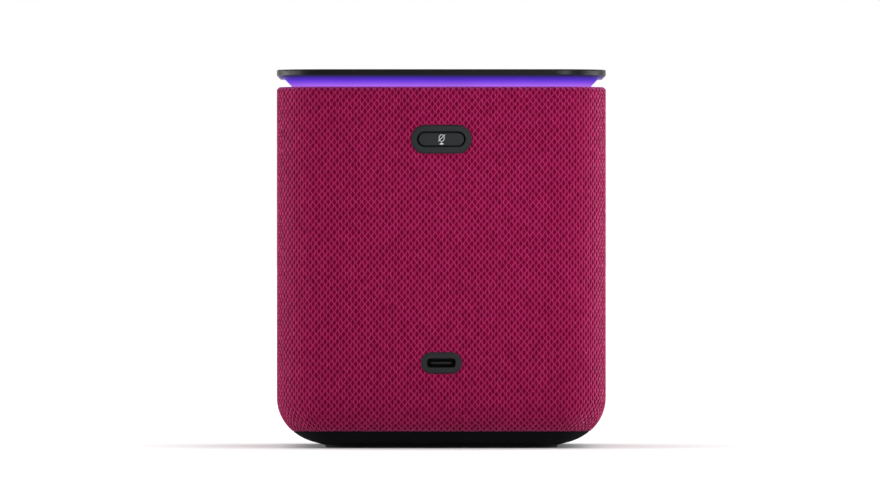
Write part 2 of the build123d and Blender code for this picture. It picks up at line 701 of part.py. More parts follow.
TONGUE_ROOT_Y = 48.4
TONGUE_ROOM = 0.02
TONGUE_EDGE_R = 0.15
with BuildPart() as usb_tongue:
    with BuildSketch(Plane.XZ.offset(-TONGUE_ROOT_Y)):
        with Locations((0, PORT_Z)):
            root_w = SHELL_W - 2 * SHELL_T - 2 * TONGUE_ROOM
            root_h = SHELL_H - 2 * SHELL_T - 2 * TONGUE_ROOM
            RectangleRounded(root_w, root_h, SHELL_R - SHELL_T - TONGUE_ROOM)
    extrude(amount=TONGUE_ROOT_Y - SHELL_BACK_Y)
    with Locations((0, TONGUE_ROOT_Y, PORT_Z)):
        tongue_l = TONGUE_FRONT_Y - TONGUE_ROOT_Y
        Box(TONGUE_W, tongue_l, TONGUE_T, align=(Align.CENTER, Align.MIN, Align.CENTER))
    fillet(usb_tongue.faces().sort_by(Axis.Y)[-1].edges().filter_by(Axis.X), TONGUE_EDGE_R)
save(usb_tongue, "usb_tongue")

CONTACTS_PER_SIDE = 12
CONTACT_PITCH = 0.5
CONTACT_W = 0.28
CONTACT_L = 2.8
CONTACT_T = 0.03
CONTACT_BACK = 2.5          # from the tongue's front edge to the contacts' middle
with BuildPart() as usb_contacts:
    contact_z = (TONGUE_T + CONTACT_T) / 2
    for side_z in (contact_z, -contact_z):
        with Locations((0, TONGUE_FRONT_Y - CONTACT_BACK, PORT_Z + side_z)):
            with GridLocations(CONTACT_PITCH, 0, CONTACTS_PER_SIDE, 1):
                Box(CONTACT_W, CONTACT_L, CONTACT_T)
save(usb_contacts, "usb_contacts")

with BuildPart() as power_board:
    with BuildSketch(Plane.XY.offset(POWER_BOARD_Z)):
        with Locations((0, (POWER_BOARD_FRONT_Y + POWER_BOARD_BACK_Y) / 2)):
            RectangleRounded(POWER_BOARD_W, POWER_BOARD_FRONT_Y - POWER_BOARD_BACK_Y, BOARD_R)
        with Locations((0, SHELF_SCREW_Y)):
            with GridLocations(2 * SHELF_X, 0, 2, 1):
                Circle(M2_R + PILOT, mode=Mode.SUBTRACT)
    extrude(amount=POWER_BOARD_T)
save(power_board, "power_board")

# ---------------------------------------------------------------- acoustic enclosure
LID_SCREWS = ((36.2, -20.0), (36.2, 14.0), (-36.2, -20.0), (-36.2, 14.0), (0.0, -36.2), (0.0, 30.2))
LID_BOSS_R = 3.6
LID_BOSS_H = 14.0
BASE_BOSS_R = 4.0
BASE_BOSS_H = 6.0
DRIVER_BOSS_R = 3.2
DRIVER_BOSS_L = 6.5
LID_PILOT = 8.0             # depths of the screw holes
BASE_PILOT = 4.6
SHELF_PILOT = 4.2
SHELF_RIB_T = 4.0
SHELF_RIB_H = 12.0
SHELF_TIP_H = 5.0
SHELF_TIP_Y = POWER_BOARD_FRONT_Y - 3.0
with BuildPart() as enclosure_tub:
    extrude(tub_outline(0, TUB_Z), amount=TUB_TOP_Z - TUB_Z)
    extrude(tub_outline(TUB_WALL, TUB_Z + TUB_WALL), amount=TUB_TOP_Z, mode=Mode.SUBTRACT)
    # bosses for the lid, the base and the drivers
    with BuildSketch(Plane.XY.offset(TUB_TOP_Z)):
        with Locations(*LID_SCREWS):
            Circle(LID_BOSS_R)
    extrude(amount=-LID_BOSS_H)
    with BuildSketch(Plane.XY.offset(TUB_Z + TUB_WALL / 2)):
        with Locations((0, TUB_MIDDLE_Y)):
            with GridLocations(2 * BASE_SCREW_X, BASE_SCREW_PITCH_Y, 2, 2):
                Circle(BASE_BOSS_R)
    extrude(amount=BASE_BOSS_H)
    with BuildSketch(face_of(WOOFER).offset(-TUB_WALL / 2)):
        with GridLocations(2 * WOOFER_SCREW_AT, 2 * WOOFER_SCREW_AT, 2, 2):
            Circle(DRIVER_BOSS_R)
    extrude(amount=-DRIVER_BOSS_L)
    for place in RADIATORS.values():
        with BuildSketch(face_of(place).offset(-TUB_WALL / 2)):
            with GridLocations(2 * RADIATOR_SCREW_AT, 2 * RADIATOR_SCREW_AT, 2, 2):
                Circle(DRIVER_BOSS_R)
        extrude(amount=-DRIVER_BOSS_L)
    # shelf ribs for the power board on the back wall
    with BuildSketch(Plane.YZ):
        with BuildLine():
            Polyline(
                (TUB_BACK_Y - 1, POWER_BOARD_Z - SHELF_RIB_H),
                (TUB_BACK_Y, POWER_BOARD_Z - SHELF_RIB_H),
                (SHELF_TIP_Y, POWER_BOARD_Z - SHELF_TIP_H),
                (SHELF_TIP_Y, POWER_BOARD_Z),
                (TUB_BACK_Y - 1, POWER_BOARD_Z),
                close=True,
            )
        make_face()
    shelf = extrude(amount=SHELF_RIB_T / 2, both=True, mode=Mode.PRIVATE)
    with Locations((SHELF_X, 0, 0), (-SHELF_X, 0, 0)):
        add(shelf)
    # driver openings and pilot holes
    with BuildSketch(face_of(WOOFER)):
        Circle(WOOFER_HOLE_R)
        with GridLocations(2 * WOOFER_SCREW_AT, 2 * WOOFER_SCREW_AT, 2, 2):
            Circle(M3_R + PILOT)
    extrude(amount=-DRIVER_BOSS_L, mode=Mode.SUBTRACT)
    for place in RADIATORS.values():
        with BuildSketch(face_of(place)):
            Circle(RADIATOR_HOLE_R)
            with GridLocations(2 * RADIATOR_SCREW_AT, 2 * RADIATOR_SCREW_AT, 2, 2):
                Circle(M3_R + PILOT)
        extrude(amount=-DRIVER_BOSS_L, mode=Mode.SUBTRACT)
    with BuildSketch(Plane.XY.offset(TUB_TOP_Z)):
        with Locations(*LID_SCREWS):
            Circle(M3_R + PILOT)
    extrude(amount=-LID_PILOT, mode=Mode.SUBTRACT)
    with BuildSketch(Plane.XY.offset(TUB_Z)):
        with Locations((0, TUB_MIDDLE_Y)):
            with GridLocations(2 * BASE_SCREW_X, BASE_SCREW_PITCH_Y, 2, 2):
                Circle(M3_R + PILOT)
    extrude(amount=BASE_PILOT, mode=Mode.SUBTRACT)
    with BuildSketch(Plane.XY.offset(POWER_BOARD_Z)):
        with Locations((0, SHELF_SCREW_Y)):
            with GridLocations(2 * SHELF_X, 0, 2, 1):
                Circle(M2_R + PILOT)
    extrude(amount=-SHELF_PILOT, mode=Mode.SUBTRACT)
save(enclosure_tub, "enclosure_tub")

LEAD_SLOT_Y = -31.0         # where the woofer's leads pass through the lid
LEAD_SLOT_W = 5.0
LEAD_SLOT_H = 1.9
with BuildPart() as lid_gasket:
    extrude(tub_outline(0.3, TUB_TOP_Z), amount=GASKET_T)
    extrude(tub_outline(TUB_WALL - 0.2, TUB_TOP_Z), amount=GASKET_T, mode=Mode.SUBTRACT)
save(lid_gasket, "lid_gasket")

POST_R = 3.5
STANDOFF_R = 2.6
POST_PILOT = 9.0
STANDOFF_PILOT = 4.0
with BuildPart() as enclosure_lid:
    extrude(tub_outline(0, LID_Z), amount=LID_T)
    with BuildSketch(Plane.XY.offset(LID_TOP_Z - FIT)):
        with Locations((0, TUB_MIDDLE_Y)):
            with GridLocations(2 * TOP_POST_X, TOP_POST_PITCH_Y, 2, 2):
                Circle(POST_R)
    extrude(amount=FRAME_LEDGE_Z - LID_TOP_Z)
    with BuildSketch(Plane.XY.offset(LID_TOP_Z - FIT)):
        with Locations((0, MAIN_BOARD_Y)):
            with GridLocations(2 * BOARD_SCREW_X, BOARD_SCREW_PITCH_Y, 2, 2):
                Circle(STANDOFF_R)
    extrude(amount=MAIN_BOARD_Z - LID_TOP_Z)
    with BuildSketch(Plane.XY.offset(LID_TOP_Z)):
        with Locations(*LID_SCREWS):
            Circle(M3_R + PILOT)
        with Locations((0, LEAD_SLOT_Y)):
            RectangleRounded(LEAD_SLOT_W, LEAD_SLOT_H, LEAD_SLOT_H / 2 - FULL_ROUND)
    extrude(amount=-LID_T, mode=Mode.SUBTRACT)
    with BuildSketch(Plane.XY.offset(FRAME_LEDGE_Z)):
        with Locations((0, TUB_MIDDLE_Y)):
            with GridLocations(2 * TOP_POST_X, TOP_POST_PITCH_Y, 2, 2):
                Circle(M3_R + PILOT)
    extrude(amount=-POST_PILOT, mode=Mode.SUBTRACT)
    with BuildSketch(Plane.XY.offset(MAIN_BOARD_Z)):
        with Locations((0, MAIN_BOARD_Y)):
            with GridLocations(2 * BOARD_SCREW_X, BOARD_SCREW_PITCH_Y, 2, 2):
                Circle(M2_R + PILOT)
    extrude(amount=-STANDOFF_PILOT, mode=Mode.SUBTRACT)
save(enclosure_lid, "enclosure_lid")

# ---------------------------------------------------------------- woofer
BASKET_DEPTH = 21.5
BASKET_MOUTH_R = 28.5
BASKET_WINDOW_AT = 23.0
BASKET_WINDOW_R = 5.0
BASKET_WINDOWS = 6
TOP_PLATE_R = 15.0
TOP_PLATE_T = 3.0
MAGNET_R = 18.0
MAGNET_BORE_R = 10.0
MAGNET_T = 8.0
BACK_PLATE_R = 16.0
POLE_BACK = -35.5
POLE_FRONT = -21.0
COIL_FRONT = -12.0
COIL_L = 15.0
GAP_IN_R = 6.2              # pole
COIL_IN_R = 6.5
COIL_OUT_R = 7.0
GAP_OUT_R = 7.3             # bore of the top plate
CONE_R = 26.0
with BuildPart() as woofer_basket:
    with BuildSketch(face_of(WOOFER)):
        RectangleRounded(WOOFER_FLANGE, WOOFER_FLANGE, 10)
        Circle(BASKET_MOUTH_R, mode=Mode.SUBTRACT)
        with GridLocations(2 * WOOFER_SCREW_AT, 2 * WOOFER_SCREW_AT, 2, 2):
            Circle(M3_R + PILOT, mode=Mode.SUBTRACT)
    extrude(amount=WOOFER_FLANGE_T)
    basket_outer = ((0.5, 30.8), (-18.5, 17.4), (-BASKET_DEPTH, 17.4), (-BASKET_DEPTH, 8.4))
    basket_inner = ((-20.0, 8.4), (-20.0, 16.0), (-18.5, 16.0), (0.5, 29.4))
    revolve(turned(WOOFER, *basket_outer, *basket_inner), axis=driver_axis(WOOFER))
    with BuildSketch(face_of(WOOFER).offset(-3.5)):
        with PolarLocations(BASKET_WINDOW_AT, BASKET_WINDOWS):
            Circle(BASKET_WINDOW_R)
    extrude(amount=COIL_FRONT, mode=Mode.SUBTRACT)
save(woofer_basket, "woofer_basket")

with BuildPart() as woofer_top_plate:
    with BuildSketch(face_of(WOOFER).offset(-BASKET_DEPTH)):
        Circle(TOP_PLATE_R)
        Circle(GAP_OUT_R, mode=Mode.SUBTRACT)
    extrude(amount=-TOP_PLATE_T)
save(woofer_top_plate, "woofer_top_plate")

with BuildPart() as woofer_magnet:
    with BuildSketch(face_of(WOOFER).offset(-BASKET_DEPTH - TOP_PLATE_T)):
        Circle(MAGNET_R)
        Circle(MAGNET_BORE_R, mode=Mode.SUBTRACT)
    extrude(amount=-MAGNET_T)
    fillet(woofer_magnet.edges().filter_by(GeomType.CIRCLE).group_by(SortBy.RADIUS)[-1], 0.6)
save(woofer_magnet, "woofer_magnet")

with BuildPart() as woofer_pole:
    pole_root = -BASKET_DEPTH - TOP_PLATE_T - MAGNET_T
    pole_tip = ((pole_root, GAP_IN_R), (POLE_FRONT, GAP_IN_R), (POLE_FRONT, 0))
    back_plate = ((POLE_BACK, 0), (POLE_BACK, BACK_PLATE_R), (pole_root, BACK_PLATE_R))
    revolve(turned(WOOFER, *pole_tip, *back_plate), axis=driver_axis(WOOFER))
save(woofer_pole, "woofer_pole")

with BuildPart() as woofer_voice_coil:
    with BuildSketch(face_of(WOOFER).offset(COIL_FRONT)):
        Circle(COIL_OUT_R)
        Circle(COIL_IN_R, mode=Mode.SUBTRACT)
    extrude(amount=-COIL_L)
save(woofer_voice_coil, "woofer_voice_coil")

with BuildPart() as woofer_cone:
    cone_back = ((COIL_FRONT, COIL_OUT_R), (1.8, 24.4), (1.8, CONE_R))
    cone_front = ((2.4, CONE_R), (2.4, 24.0), (-10.7, COIL_OUT_R))
    revolve(turned(WOOFER, *cone_back, *cone_front), axis=driver_axis(WOOFER))
save(woofer_cone, "woofer_cone")

with BuildPart() as woofer_dust_cap:
    revolve(dome_section(WOOFER, -6.0, -9.55, 8.4, 0.5), axis=driver_axis(WOOFER))
save(woofer_dust_cap, "woofer_dust_cap")

with BuildPart() as woofer_surround:
    revolve(roll_section(WOOFER, WOOFER_FLANGE_T + FIT, 28, 2, 2.6), axis=driver_axis(WOOFER))
save(woofer_surround, "woofer_surround")

with BuildPart() as woofer_spider:
    waves = 6
    wave_pitch = (14.6 - COIL_OUT_R) / waves
    rings = range(waves + 1)
    front = [(-18.2 + 0.4 * (n % 2), COIL_OUT_R + FIT + n * wave_pitch) for n in rings]
    behind = [(out - 0.35, r) for out, r in reversed(front)]
    land = ((-17.85, 14.7), (-19.5, 15.9), (-19.95, 15.9), (-19.95, 14.7))
    revolve(turned(WOOFER, *front, *land, *behind), axis=driver_axis(WOOFER))
save(woofer_spider, "woofer_spider")

# ---------------------------------------------------------------- passive radiators
for hand, place in RADIATORS.items():
    with BuildPart() as radiator_frame:
        with BuildSketch(face_of(place)):
            RectangleRounded(RADIATOR_FLANGE, RADIATOR_FLANGE, 8)
            Circle(RADIATOR_MOUTH_R, mode=Mode.SUBTRACT)
            with GridLocations(2 * RADIATOR_SCREW_AT, 2 * RADIATOR_SCREW_AT, 2, 2):
                Circle(M3_R + PILOT, mode=Mode.SUBTRACT)
        extrude(amount=RADIATOR_FLANGE_T)
        with BuildSketch(face_of(place).offset(0.5)):
            Circle(RADIATOR_COLLAR_R)
            Circle(RADIATOR_MOUTH_R, mode=Mode.SUBTRACT)
        extrude(amount=-RADIATOR_COLLAR_L)
    save(radiator_frame, f"radiator_frame_{hand}")

    with BuildPart() as radiator_plate:
        with BuildSketch(face_of(place).offset(0.4)):
            Circle(PLATE_R)
        extrude(amount=PLATE_T)
        fillet(radiator_plate.edges().filter_by(GeomType.CIRCLE), 0.3)
    save(radiator_plate, f"radiator_plate_{hand}")

    with BuildPart() as radiator_surround:
        revolve(roll_section(place, RADIATOR_FLANGE_T + FIT, 20, 2.8, 2.6), axis=driver_axis(place))
    save(radiator_surround, f"radiator_surround_{hand}")

# ---------------------------------------------------------------- tweeters
with BuildPart() as tweeter_housings:
    for place in TWEETERS.values():
        with BuildSketch(face_of(place)):
            RectangleRounded(TWEETER_W, TWEETER_H, 3)
        extrude(amount=-TWEETER_D)
        with BuildSketch(face_of(place)):
            Circle(TWEETER_WELL_R)
        extrude(amount=-TWEETER_WELL, mode=Mode.SUBTRACT)
save(tweeter_housings, "tweeter_housings")

with BuildPart() as tweeter_magnets:
    for place in TWEETERS.values():
        with BuildSketch(face_of(place).offset(-TWEETER_WELL)):
            Circle(TWEETER_MAGNET_R)
        extrude(amount=TWEETER_MAGNET_T)
        with BuildSketch(face_of(place).offset(TWEETER_MAGNET_T - TWEETER_WELL)):
            Circle(TWEETER_GAP_OUT_R)
            Circle(TWEETER_GAP_IN_R, mode=Mode.SUBTRACT)
        extrude(amount=-TWEETER_GAP_DEPTH, mode=Mode.SUBTRACT)
save(tweeter_magnets, "tweeter_magnets")

for hand, place in TWEETERS.items():
    with BuildPart() as tweeter_dome:
        revolve(dome_section(place, 0.9, -1.2, 5.2, 0.3), axis=driver_axis(place))
        coil = ((-1.2, 4.9), (-1.2, 5.2), (-4.7, 5.2), (-4.7, 4.9))
        revolve(turned(place, *coil), axis=driver_axis(place))
    save(tweeter_dome, f"tweeter_dome_{hand}")

    with BuildPart() as tweeter_surround:
        ring = ((-1.6, 5.25), (-1.3, 5.25), (-1.3, 6.95), (-1.6, 6.95))
        revolve(turned(place, *ring), axis=driver_axis(place))
    save(tweeter_surround, f"tweeter_surround_{hand}")

# ---------------------------------------------------------------- main board and cooling
BOARD_TOP_Z = MAIN_BOARD_Z + BOARD_T
CHIP_AT = (-6.0, 8.0)
CHIP_SIDE = 14.0
CHIP_T = 1.2
PAD_SIDE = 13.0
PAD_T = 0.8
with BuildPart() as main_board:
    with BuildSketch(Plane.XY.offset(MAIN_BOARD_Z)):
        with Locations((0, MAIN_BOARD_Y)):
            RectangleRounded(MAIN_BOARD_W, MAIN_BOARD_D, 2)
            with GridLocations(2 * BOARD_SCREW_X, BOARD_SCREW_PITCH_Y, 2, 2):
                Circle(M2_R + PILOT, mode=Mode.SUBTRACT)
    extrude(amount=BOARD_T)
save(main_board, "main_board")

with BuildPart() as processor:
    with Locations((*CHIP_AT, BOARD_TOP_Z)):
        Box(CHIP_SIDE, CHIP_SIDE, CHIP_T, align=(Align.CENTER, Align.CENTER, Align.MIN))
    chamfer(processor.faces().sort_by(Axis.Z)[-1].edges(), 0.2)
save(processor, "processor")

with BuildPart() as thermal_pad:
    with Locations((*CHIP_AT, BOARD_TOP_Z + CHIP_T)):
        Box(PAD_SIDE, PAD_SIDE, PAD_T, align=(Align.CENTER, Align.CENTER, Align.MIN))
save(thermal_pad, "thermal_pad")

SPREADER_W = 44.0
SPREADER_D = 26.0
SPREADER_T = 1.5
SPREADER_LEG_R = 1.5
with BuildPart() as heat_spreader:
    with BuildSketch(Plane.XY.offset(BOARD_TOP_Z + CHIP_T + PAD_T)):
        with Locations(CHIP_AT):
            RectangleRounded(SPREADER_W, SPREADER_D, 2)
    extrude(amount=SPREADER_T)
    with BuildSketch(Plane.XY.offset(BOARD_TOP_Z)):
        with Locations(CHIP_AT):
            with GridLocations(SPREADER_W - 5, SPREADER_D - 5, 2, 2):
                Circle(SPREADER_LEG_R)
    extrude(amount=CHIP_T + PAD_T + FIT)
save(heat_spreader, "heat_spreader")

SHIELD_W = 16.0
SHIELD_D = 12.0
SHIELD_H = 2.2
SHIELD_WALL = 0.25
with BuildPart() as wifi_shield:
    stand = (Align.CENTER, Align.CENTER, Align.MIN)
    room_w = SHIELD_W - 2 * SHIELD_WALL
    room_d = SHIELD_D - 2 * SHIELD_WALL
    with Locations((21.0, -12.0, BOARD_TOP_Z)):
        Box(SHIELD_W, SHIELD_D, SHIELD_H, align=stand)
        Box(room_w, room_d, SHIELD_H - SHIELD_WALL, align=stand, mode=Mode.SUBTRACT)
save(wifi_shield, "wifi_shield")

CAPACITORS = ((-24, -12), (-15, -12), (24, 8), (24, 17))
CAPACITOR_R = 3.2
CAPACITOR_H = 7.0
with BuildPart() as capacitors:
    with BuildSketch(Plane.XY.offset(BOARD_TOP_Z)):
        with Locations(*CAPACITORS):
            Circle(CAPACITOR_R)
    extrude(amount=CAPACITOR_H)
    fillet(capacitors.faces().group_by(Axis.Z)[-1].edges(), 0.5)
save(capacitors, "capacitors")

CONNECTORS = ((0, -20), (0, 28), (19, 30))
CONNECTOR_W = 8.0
CONNECTOR_D = 4.0
CONNECTOR_H = 3.0
with BuildPart() as connectors:
    with BuildSketch(Plane.XY.offset(BOARD_TOP_Z)):
        with Locations(*CONNECTORS):
            Rectangle(CONNECTOR_W, CONNECTOR_D)
    extrude(amount=CONNECTOR_H)
save(connectors, "connectors")

# ---------------------------------------------------------------- leads and ribbons
LEAD_R = 0.6
POWER_LEAD_R = 1.1
RIBBON_T = 0.3


def ribbon_section(*points, radius=2.0):
    """Side view of a flat ribbon cable that runs through the points."""
    with BuildSketch(Plane.YZ) as side_view:
        with BuildLine():
            route = FilletPolyline(*points, radius=radius)
        trace(route, RIBBON_T)
    return side_view.sketch


with BuildPart() as ribbon_cables:
    touch_route = ((-15.8, 104.0), (-12.0, 104.0), (-12.0, 120.2), (-6.0, 120.2), (-6.0, TOUCH_Z))
    extrude(ribbon_section(*touch_route), amount=3.5, both=True)
    mute_route = ((44.6, 106.0), (40.5, 106.0), (40.5, 104.0), (30.2, 104.0))
    extrude(ribbon_section(*mute_route, radius=0.9), amount=3.0, both=True)
save(ribbon_cables, "ribbon_cables")

with BuildPart() as woofer_leads:
    for lead_x in (-1.2, 1.2):
        with BuildLine(Plane.YZ.offset(lead_x)) as route:
            FilletPolyline((-22.2, 104.0), (LEAD_SLOT_Y, 104.0), (LEAD_SLOT_Y, 74.5), radius=3.6)
        with BuildSketch(Plane(route.line @ 0, z_dir=route.line % 0)):
            Circle(LEAD_R)
        sweep(path=route.line)
save(woofer_leads, "woofer_leads")

with BuildPart() as power_lead:
    with BuildLine(Plane.YZ.offset(17.0)) as route:
        FilletPolyline((41.5, 27.6), (41.5, 104.0), (32.2, 104.0), radius=5)
    with BuildSketch(Plane(route.line @ 0, z_dir=route.line % 0)):
        Circle(POWER_LEAD_R)
    sweep(path=route.line)
save(power_lead, "power_lead")

ANTENNA_T = 0.3
ANTENNA_L = 30.0
ANTENNA_H = 6.0
with BuildPart() as antennas:
    for way in (1, -1):
        with Locations((way * (HALF - FRAME_IN - FIT * 2 - ANTENNA_T / 2), 20, 106)):
            Box(ANTENNA_T, ANTENNA_L, ANTENNA_H)
save(antennas, "antennas")

# ---------------------------------------------------------------- screws
case_screw = screw(M3_R, CASE_SCREW_L, M3_HEAD_R, M3_HEAD)
driver_screw = screw(M3_R, DRIVER_SCREW_L, M3_HEAD_R, M3_HEAD)
small_screw = screw(M2_R, SMALL_SCREW_L, M2_HEAD_R, M2_HEAD)

with BuildPart() as case_screws:
    with Locations(*[(x, y, LID_TOP_Z) for x, y in LID_SCREWS]):
        add(case_screw)
    with Locations((0, TUB_MIDDLE_Y, LED_BOARD_Z)):
        with GridLocations(2 * TOP_POST_X, TOP_POST_PITCH_Y, 2, 2):
            add(case_screw)
    with Locations((0, TUB_MIDDLE_Y, BASE_SEAT_Z)):
        with GridLocations(2 * BASE_SCREW_X, BASE_SCREW_PITCH_Y, 2, 2):
            with Locations(Location((0, 0, 0), (180, 0, 0))):
                add(case_screw)
save(case_screws, "case_screws")

with BuildPart() as driver_screws:
    with Locations(face_of(WOOFER).offset(WOOFER_FLANGE_T)):
        with GridLocations(2 * WOOFER_SCREW_AT, 2 * WOOFER_SCREW_AT, 2, 2):
            add(driver_screw)
    for place in RADIATORS.values():
        with Locations(face_of(place).offset(RADIATOR_FLANGE_T)):
            with GridLocations(2 * RADIATOR_SCREW_AT, 2 * RADIATOR_SCREW_AT, 2, 2):
                add(driver_screw)
save(driver_screws, "driver_screws")

with BuildPart() as small_screws:
    with Locations((0, MAIN_BOARD_Y, BOARD_TOP_Z)):
        with GridLocations(2 * BOARD_SCREW_X, BOARD_SCREW_PITCH_Y, 2, 2):
            add(small_screw)
    with Locations((SHELF_X, SHELF_SCREW_Y), (-SHELF_X, SHELF_SCREW_Y)):
        with Locations((0, 0, POWER_BOARD_Z + POWER_BOARD_T)):
            add(small_screw)
    with Locations(Plane.XZ.offset(MUTE_BOARD_T - MUTE_BOARD_Y)):
        with Locations((MUTE_POST_X, MUTE_Z), (-MUTE_POST_X, MUTE_Z)):
            add(small_screw)
save(small_screws, "small_screws")
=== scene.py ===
import bisect
import math
import random

import bpy
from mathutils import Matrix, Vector


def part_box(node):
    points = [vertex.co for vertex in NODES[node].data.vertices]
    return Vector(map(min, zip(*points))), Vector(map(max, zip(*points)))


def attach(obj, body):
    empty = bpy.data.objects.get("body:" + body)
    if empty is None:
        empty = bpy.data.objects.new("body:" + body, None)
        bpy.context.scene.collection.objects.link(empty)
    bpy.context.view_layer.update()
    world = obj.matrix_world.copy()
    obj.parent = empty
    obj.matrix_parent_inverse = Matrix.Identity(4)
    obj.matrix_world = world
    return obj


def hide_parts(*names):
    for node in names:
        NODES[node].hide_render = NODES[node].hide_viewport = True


# The looks of a fabric-covered smart speaker, seen from its back. Metres, in the frame of
# the CAD model: +Z is up, the front faces -Y, the back faces +Y, the origin is on the floor.

MM = 0.001
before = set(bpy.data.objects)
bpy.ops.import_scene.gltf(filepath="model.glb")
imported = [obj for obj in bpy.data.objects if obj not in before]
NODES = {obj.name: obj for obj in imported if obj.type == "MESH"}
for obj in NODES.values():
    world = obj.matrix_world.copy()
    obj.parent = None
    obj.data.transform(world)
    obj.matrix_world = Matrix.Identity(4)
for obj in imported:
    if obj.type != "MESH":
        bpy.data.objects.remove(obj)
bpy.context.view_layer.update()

# ---------------------------------------------------------------- driving dimensions
SLEEVE_LOW, SLEEVE_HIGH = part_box("fabric_sleeve")
BUTTON_LOW, BUTTON_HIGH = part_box("mute_button")
PORT_LOW, PORT_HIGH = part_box("usb_shell")
HALF = SLEEVE_HIGH.x                # half of the side of the rounded-square plan
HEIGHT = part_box("top_panel")[1].z
GUIDE_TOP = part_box("light_guide")[1].z
SEAM_Z = SLEEVE_LOW.z               # lower edge of the fabric
FABRIC_TOP = SLEEVE_HIGH.z
CORNER_R = 16.8 * MM
CURVE_OUT = 17.1 * MM               # the wall turns under along a quarter ellipse
CURVE_UP = 15.46 * MM
CURVE_Z = 16.74 * MM                # where that turn starts
EDGE_R = 0.9 * MM                   # rounding of the fabric's top edge
LIP = 2.1 * MM                      # how far the fabric folds over the frame
HEM_R = 0.3 * MM
HEM = 2.2 * MM                      # how far the fabric's lower edge is tucked under the frame
PANEL_PAINTED_GLOW = 0.5 * MM               # how far up the panel's edge the painted glow of the ring's light reaches
FABRIC_PAINTED_GLOW = 1.1 * MM              # how far down the fabric the painted glow of the ring's light reaches

# ---- the knit: rows of small upright diamonds, each with a pit in its middle
KNIT_COLUMNS = 202                  # diamonds round the body
KNIT_ROWS = 48                      # diamonds down the wall
PIT_DEPTH = 0.2 * MM
PIT_WIDE = 0.34                     # share of a diamond's width that its pit takes
PIT_TALL = 0.8
PIT_SIZES = (0.86, 1.12)            # spread of the pits' sizes and depths
PIT_DEPTHS = (0.8, 1.1)
KNIT_JITTER = 0.06                  # how far a crossing strays, in pitches
OVAL_WIDE = 0.19                    # half sizes of the dark upright ovals, in pitches
OVAL_TALL = 0.36
YARN_SWING = 0.16                   # how far an upright yarn waves to each side, in pitches
YARN_WIDE = 0.11                    # half of its width with its soft edge
YARN_STRAY = 0.12                   # how far it strays from its way
TUCK_CLEAR = 0.04 * MM              # the fabric's cut edge stays this far from a bezel
TUCK_REACH = 0.55 * MM
TUCK_DEPTH = 0.32 * MM
HIDDEN = 0.9 * MM                   # diamonds this far behind a bezel are left out


# ---------------------------------------------------------------- node helpers
class Graph:
    """The node tree of a new material, or of a world, with short calls for the nodes used here."""

    def __init__(self, name, world=None):
        self.material = world or bpy.data.materials.new(name)
        self.material.use_nodes = True
        self.tree = self.material.node_tree
        self.shader = self.tree.nodes["Background" if world else "Principled BSDF"]

    def node(self, kind, **settings):
        made = self.tree.nodes.new(kind)
        for key, value in settings.items():
            setattr(made, key, value)
        return made

    def join(self, source, target):
        """Link a socket, or set a plain value, on a target socket."""
        if isinstance(source, bpy.types.NodeSocket):
            self.tree.links.new(source, target)
        else:
            target.default_value = source

    def math(self, operation, *values):
        made = self.node("ShaderNodeMath", operation=operation)
        for value, socket in zip(values, made.inputs):
            self.join(value, socket)
        return made.outputs[0]

    def remap(self, value, low, high, to_low=0.0, to_high=1.0):
        """Smooth step from low..high to to_low..to_high."""
        made = self.node("ShaderNodeMapRange", interpolation_type="SMOOTHSTEP")
        for source, socket in zip((value, low, high, to_low, to_high), made.inputs):
            self.join(source, socket)
        return made.outputs[0]

    def slope(self, value, low, high):
        """Straight slope from 0 at low to 1 at high."""
        made = self.node("ShaderNodeMapRange")
        for source, socket in zip((value, low, high), made.inputs):
            self.join(source, socket)
        return made.outputs[0]

    def ramp(self, value, *stops):
        """Colour ramp. Each stop is (place, colour)."""
        made = self.node("ShaderNodeValToRGB")
        elements = made.color_ramp.elements
        while len(elements) < len(stops):
            elements.new(0.5)
        for element, (place, colour) in zip(elements, stops):
            element.position = place
            element.color = (*colour, 1)
        self.join(value, made.inputs[0])
        return made.outputs[0]

    def mix(self, share, first, second):
        made = self.node("ShaderNodeMix", data_type="RGBA")
        self.join(share, made.inputs[0])
        for value, socket in ((first, made.inputs[6]), (second, made.inputs[7])):
            self.join(value if isinstance(value, bpy.types.NodeSocket) else (*value, 1), socket)
        return made.outputs[2]

    def noise(self, scale, detail=2.0, stretch=(1, 1, 1)):
        """Noise in the object's own coordinates, with scale in waves per metre."""
        place = self.node("ShaderNodeTexCoord")
        spread = self.node("ShaderNodeMapping")
        spread.inputs["Scale"].default_value = stretch
        self.join(place.outputs["Object"], spread.inputs[0])
        made = self.node("ShaderNodeTexNoise")
        made.inputs["Scale"].default_value = scale
        made.inputs["Detail"].default_value = detail
        self.join(spread.outputs[0], made.inputs["Vector"])
        return made.outputs["Fac"]

    def height(self):
        """The height of a point over the floor, in metres."""
        place = self.node("ShaderNodeTexCoord")
        split = self.node("ShaderNodeSeparateXYZ")
        self.join(place.outputs["Object"], split.inputs[0])
        return split.outputs["Z"]

    def bump(self, value, distance):
        made = self.node("ShaderNodeBump")
        made.inputs["Distance"].default_value = distance
        self.join(value, made.inputs["Height"])
        self.join(made.outputs[0], self.shader.inputs["Normal"])

    def set(self, **values):
        """Set or link sockets of the shader, named with _ for a space."""
        for name, value in values.items():
            socket = self.shader.inputs[name.replace("_", " ")]
            if isinstance(value, tuple):
                value = (*value, 1)
            self.join(value, socket)
        return self.material


def scaled(colour, factor):
    """A darker or lighter copy of a colour."""
    return tuple(channel * factor for channel in colour)


# ---------------------------------------------------------------- finishes
MOTTLE = 0.12                       # how much a moulded surface's colour varies
DRAWN_GRAIN = 260.0                 # drawing marks of metal, in waves per metre


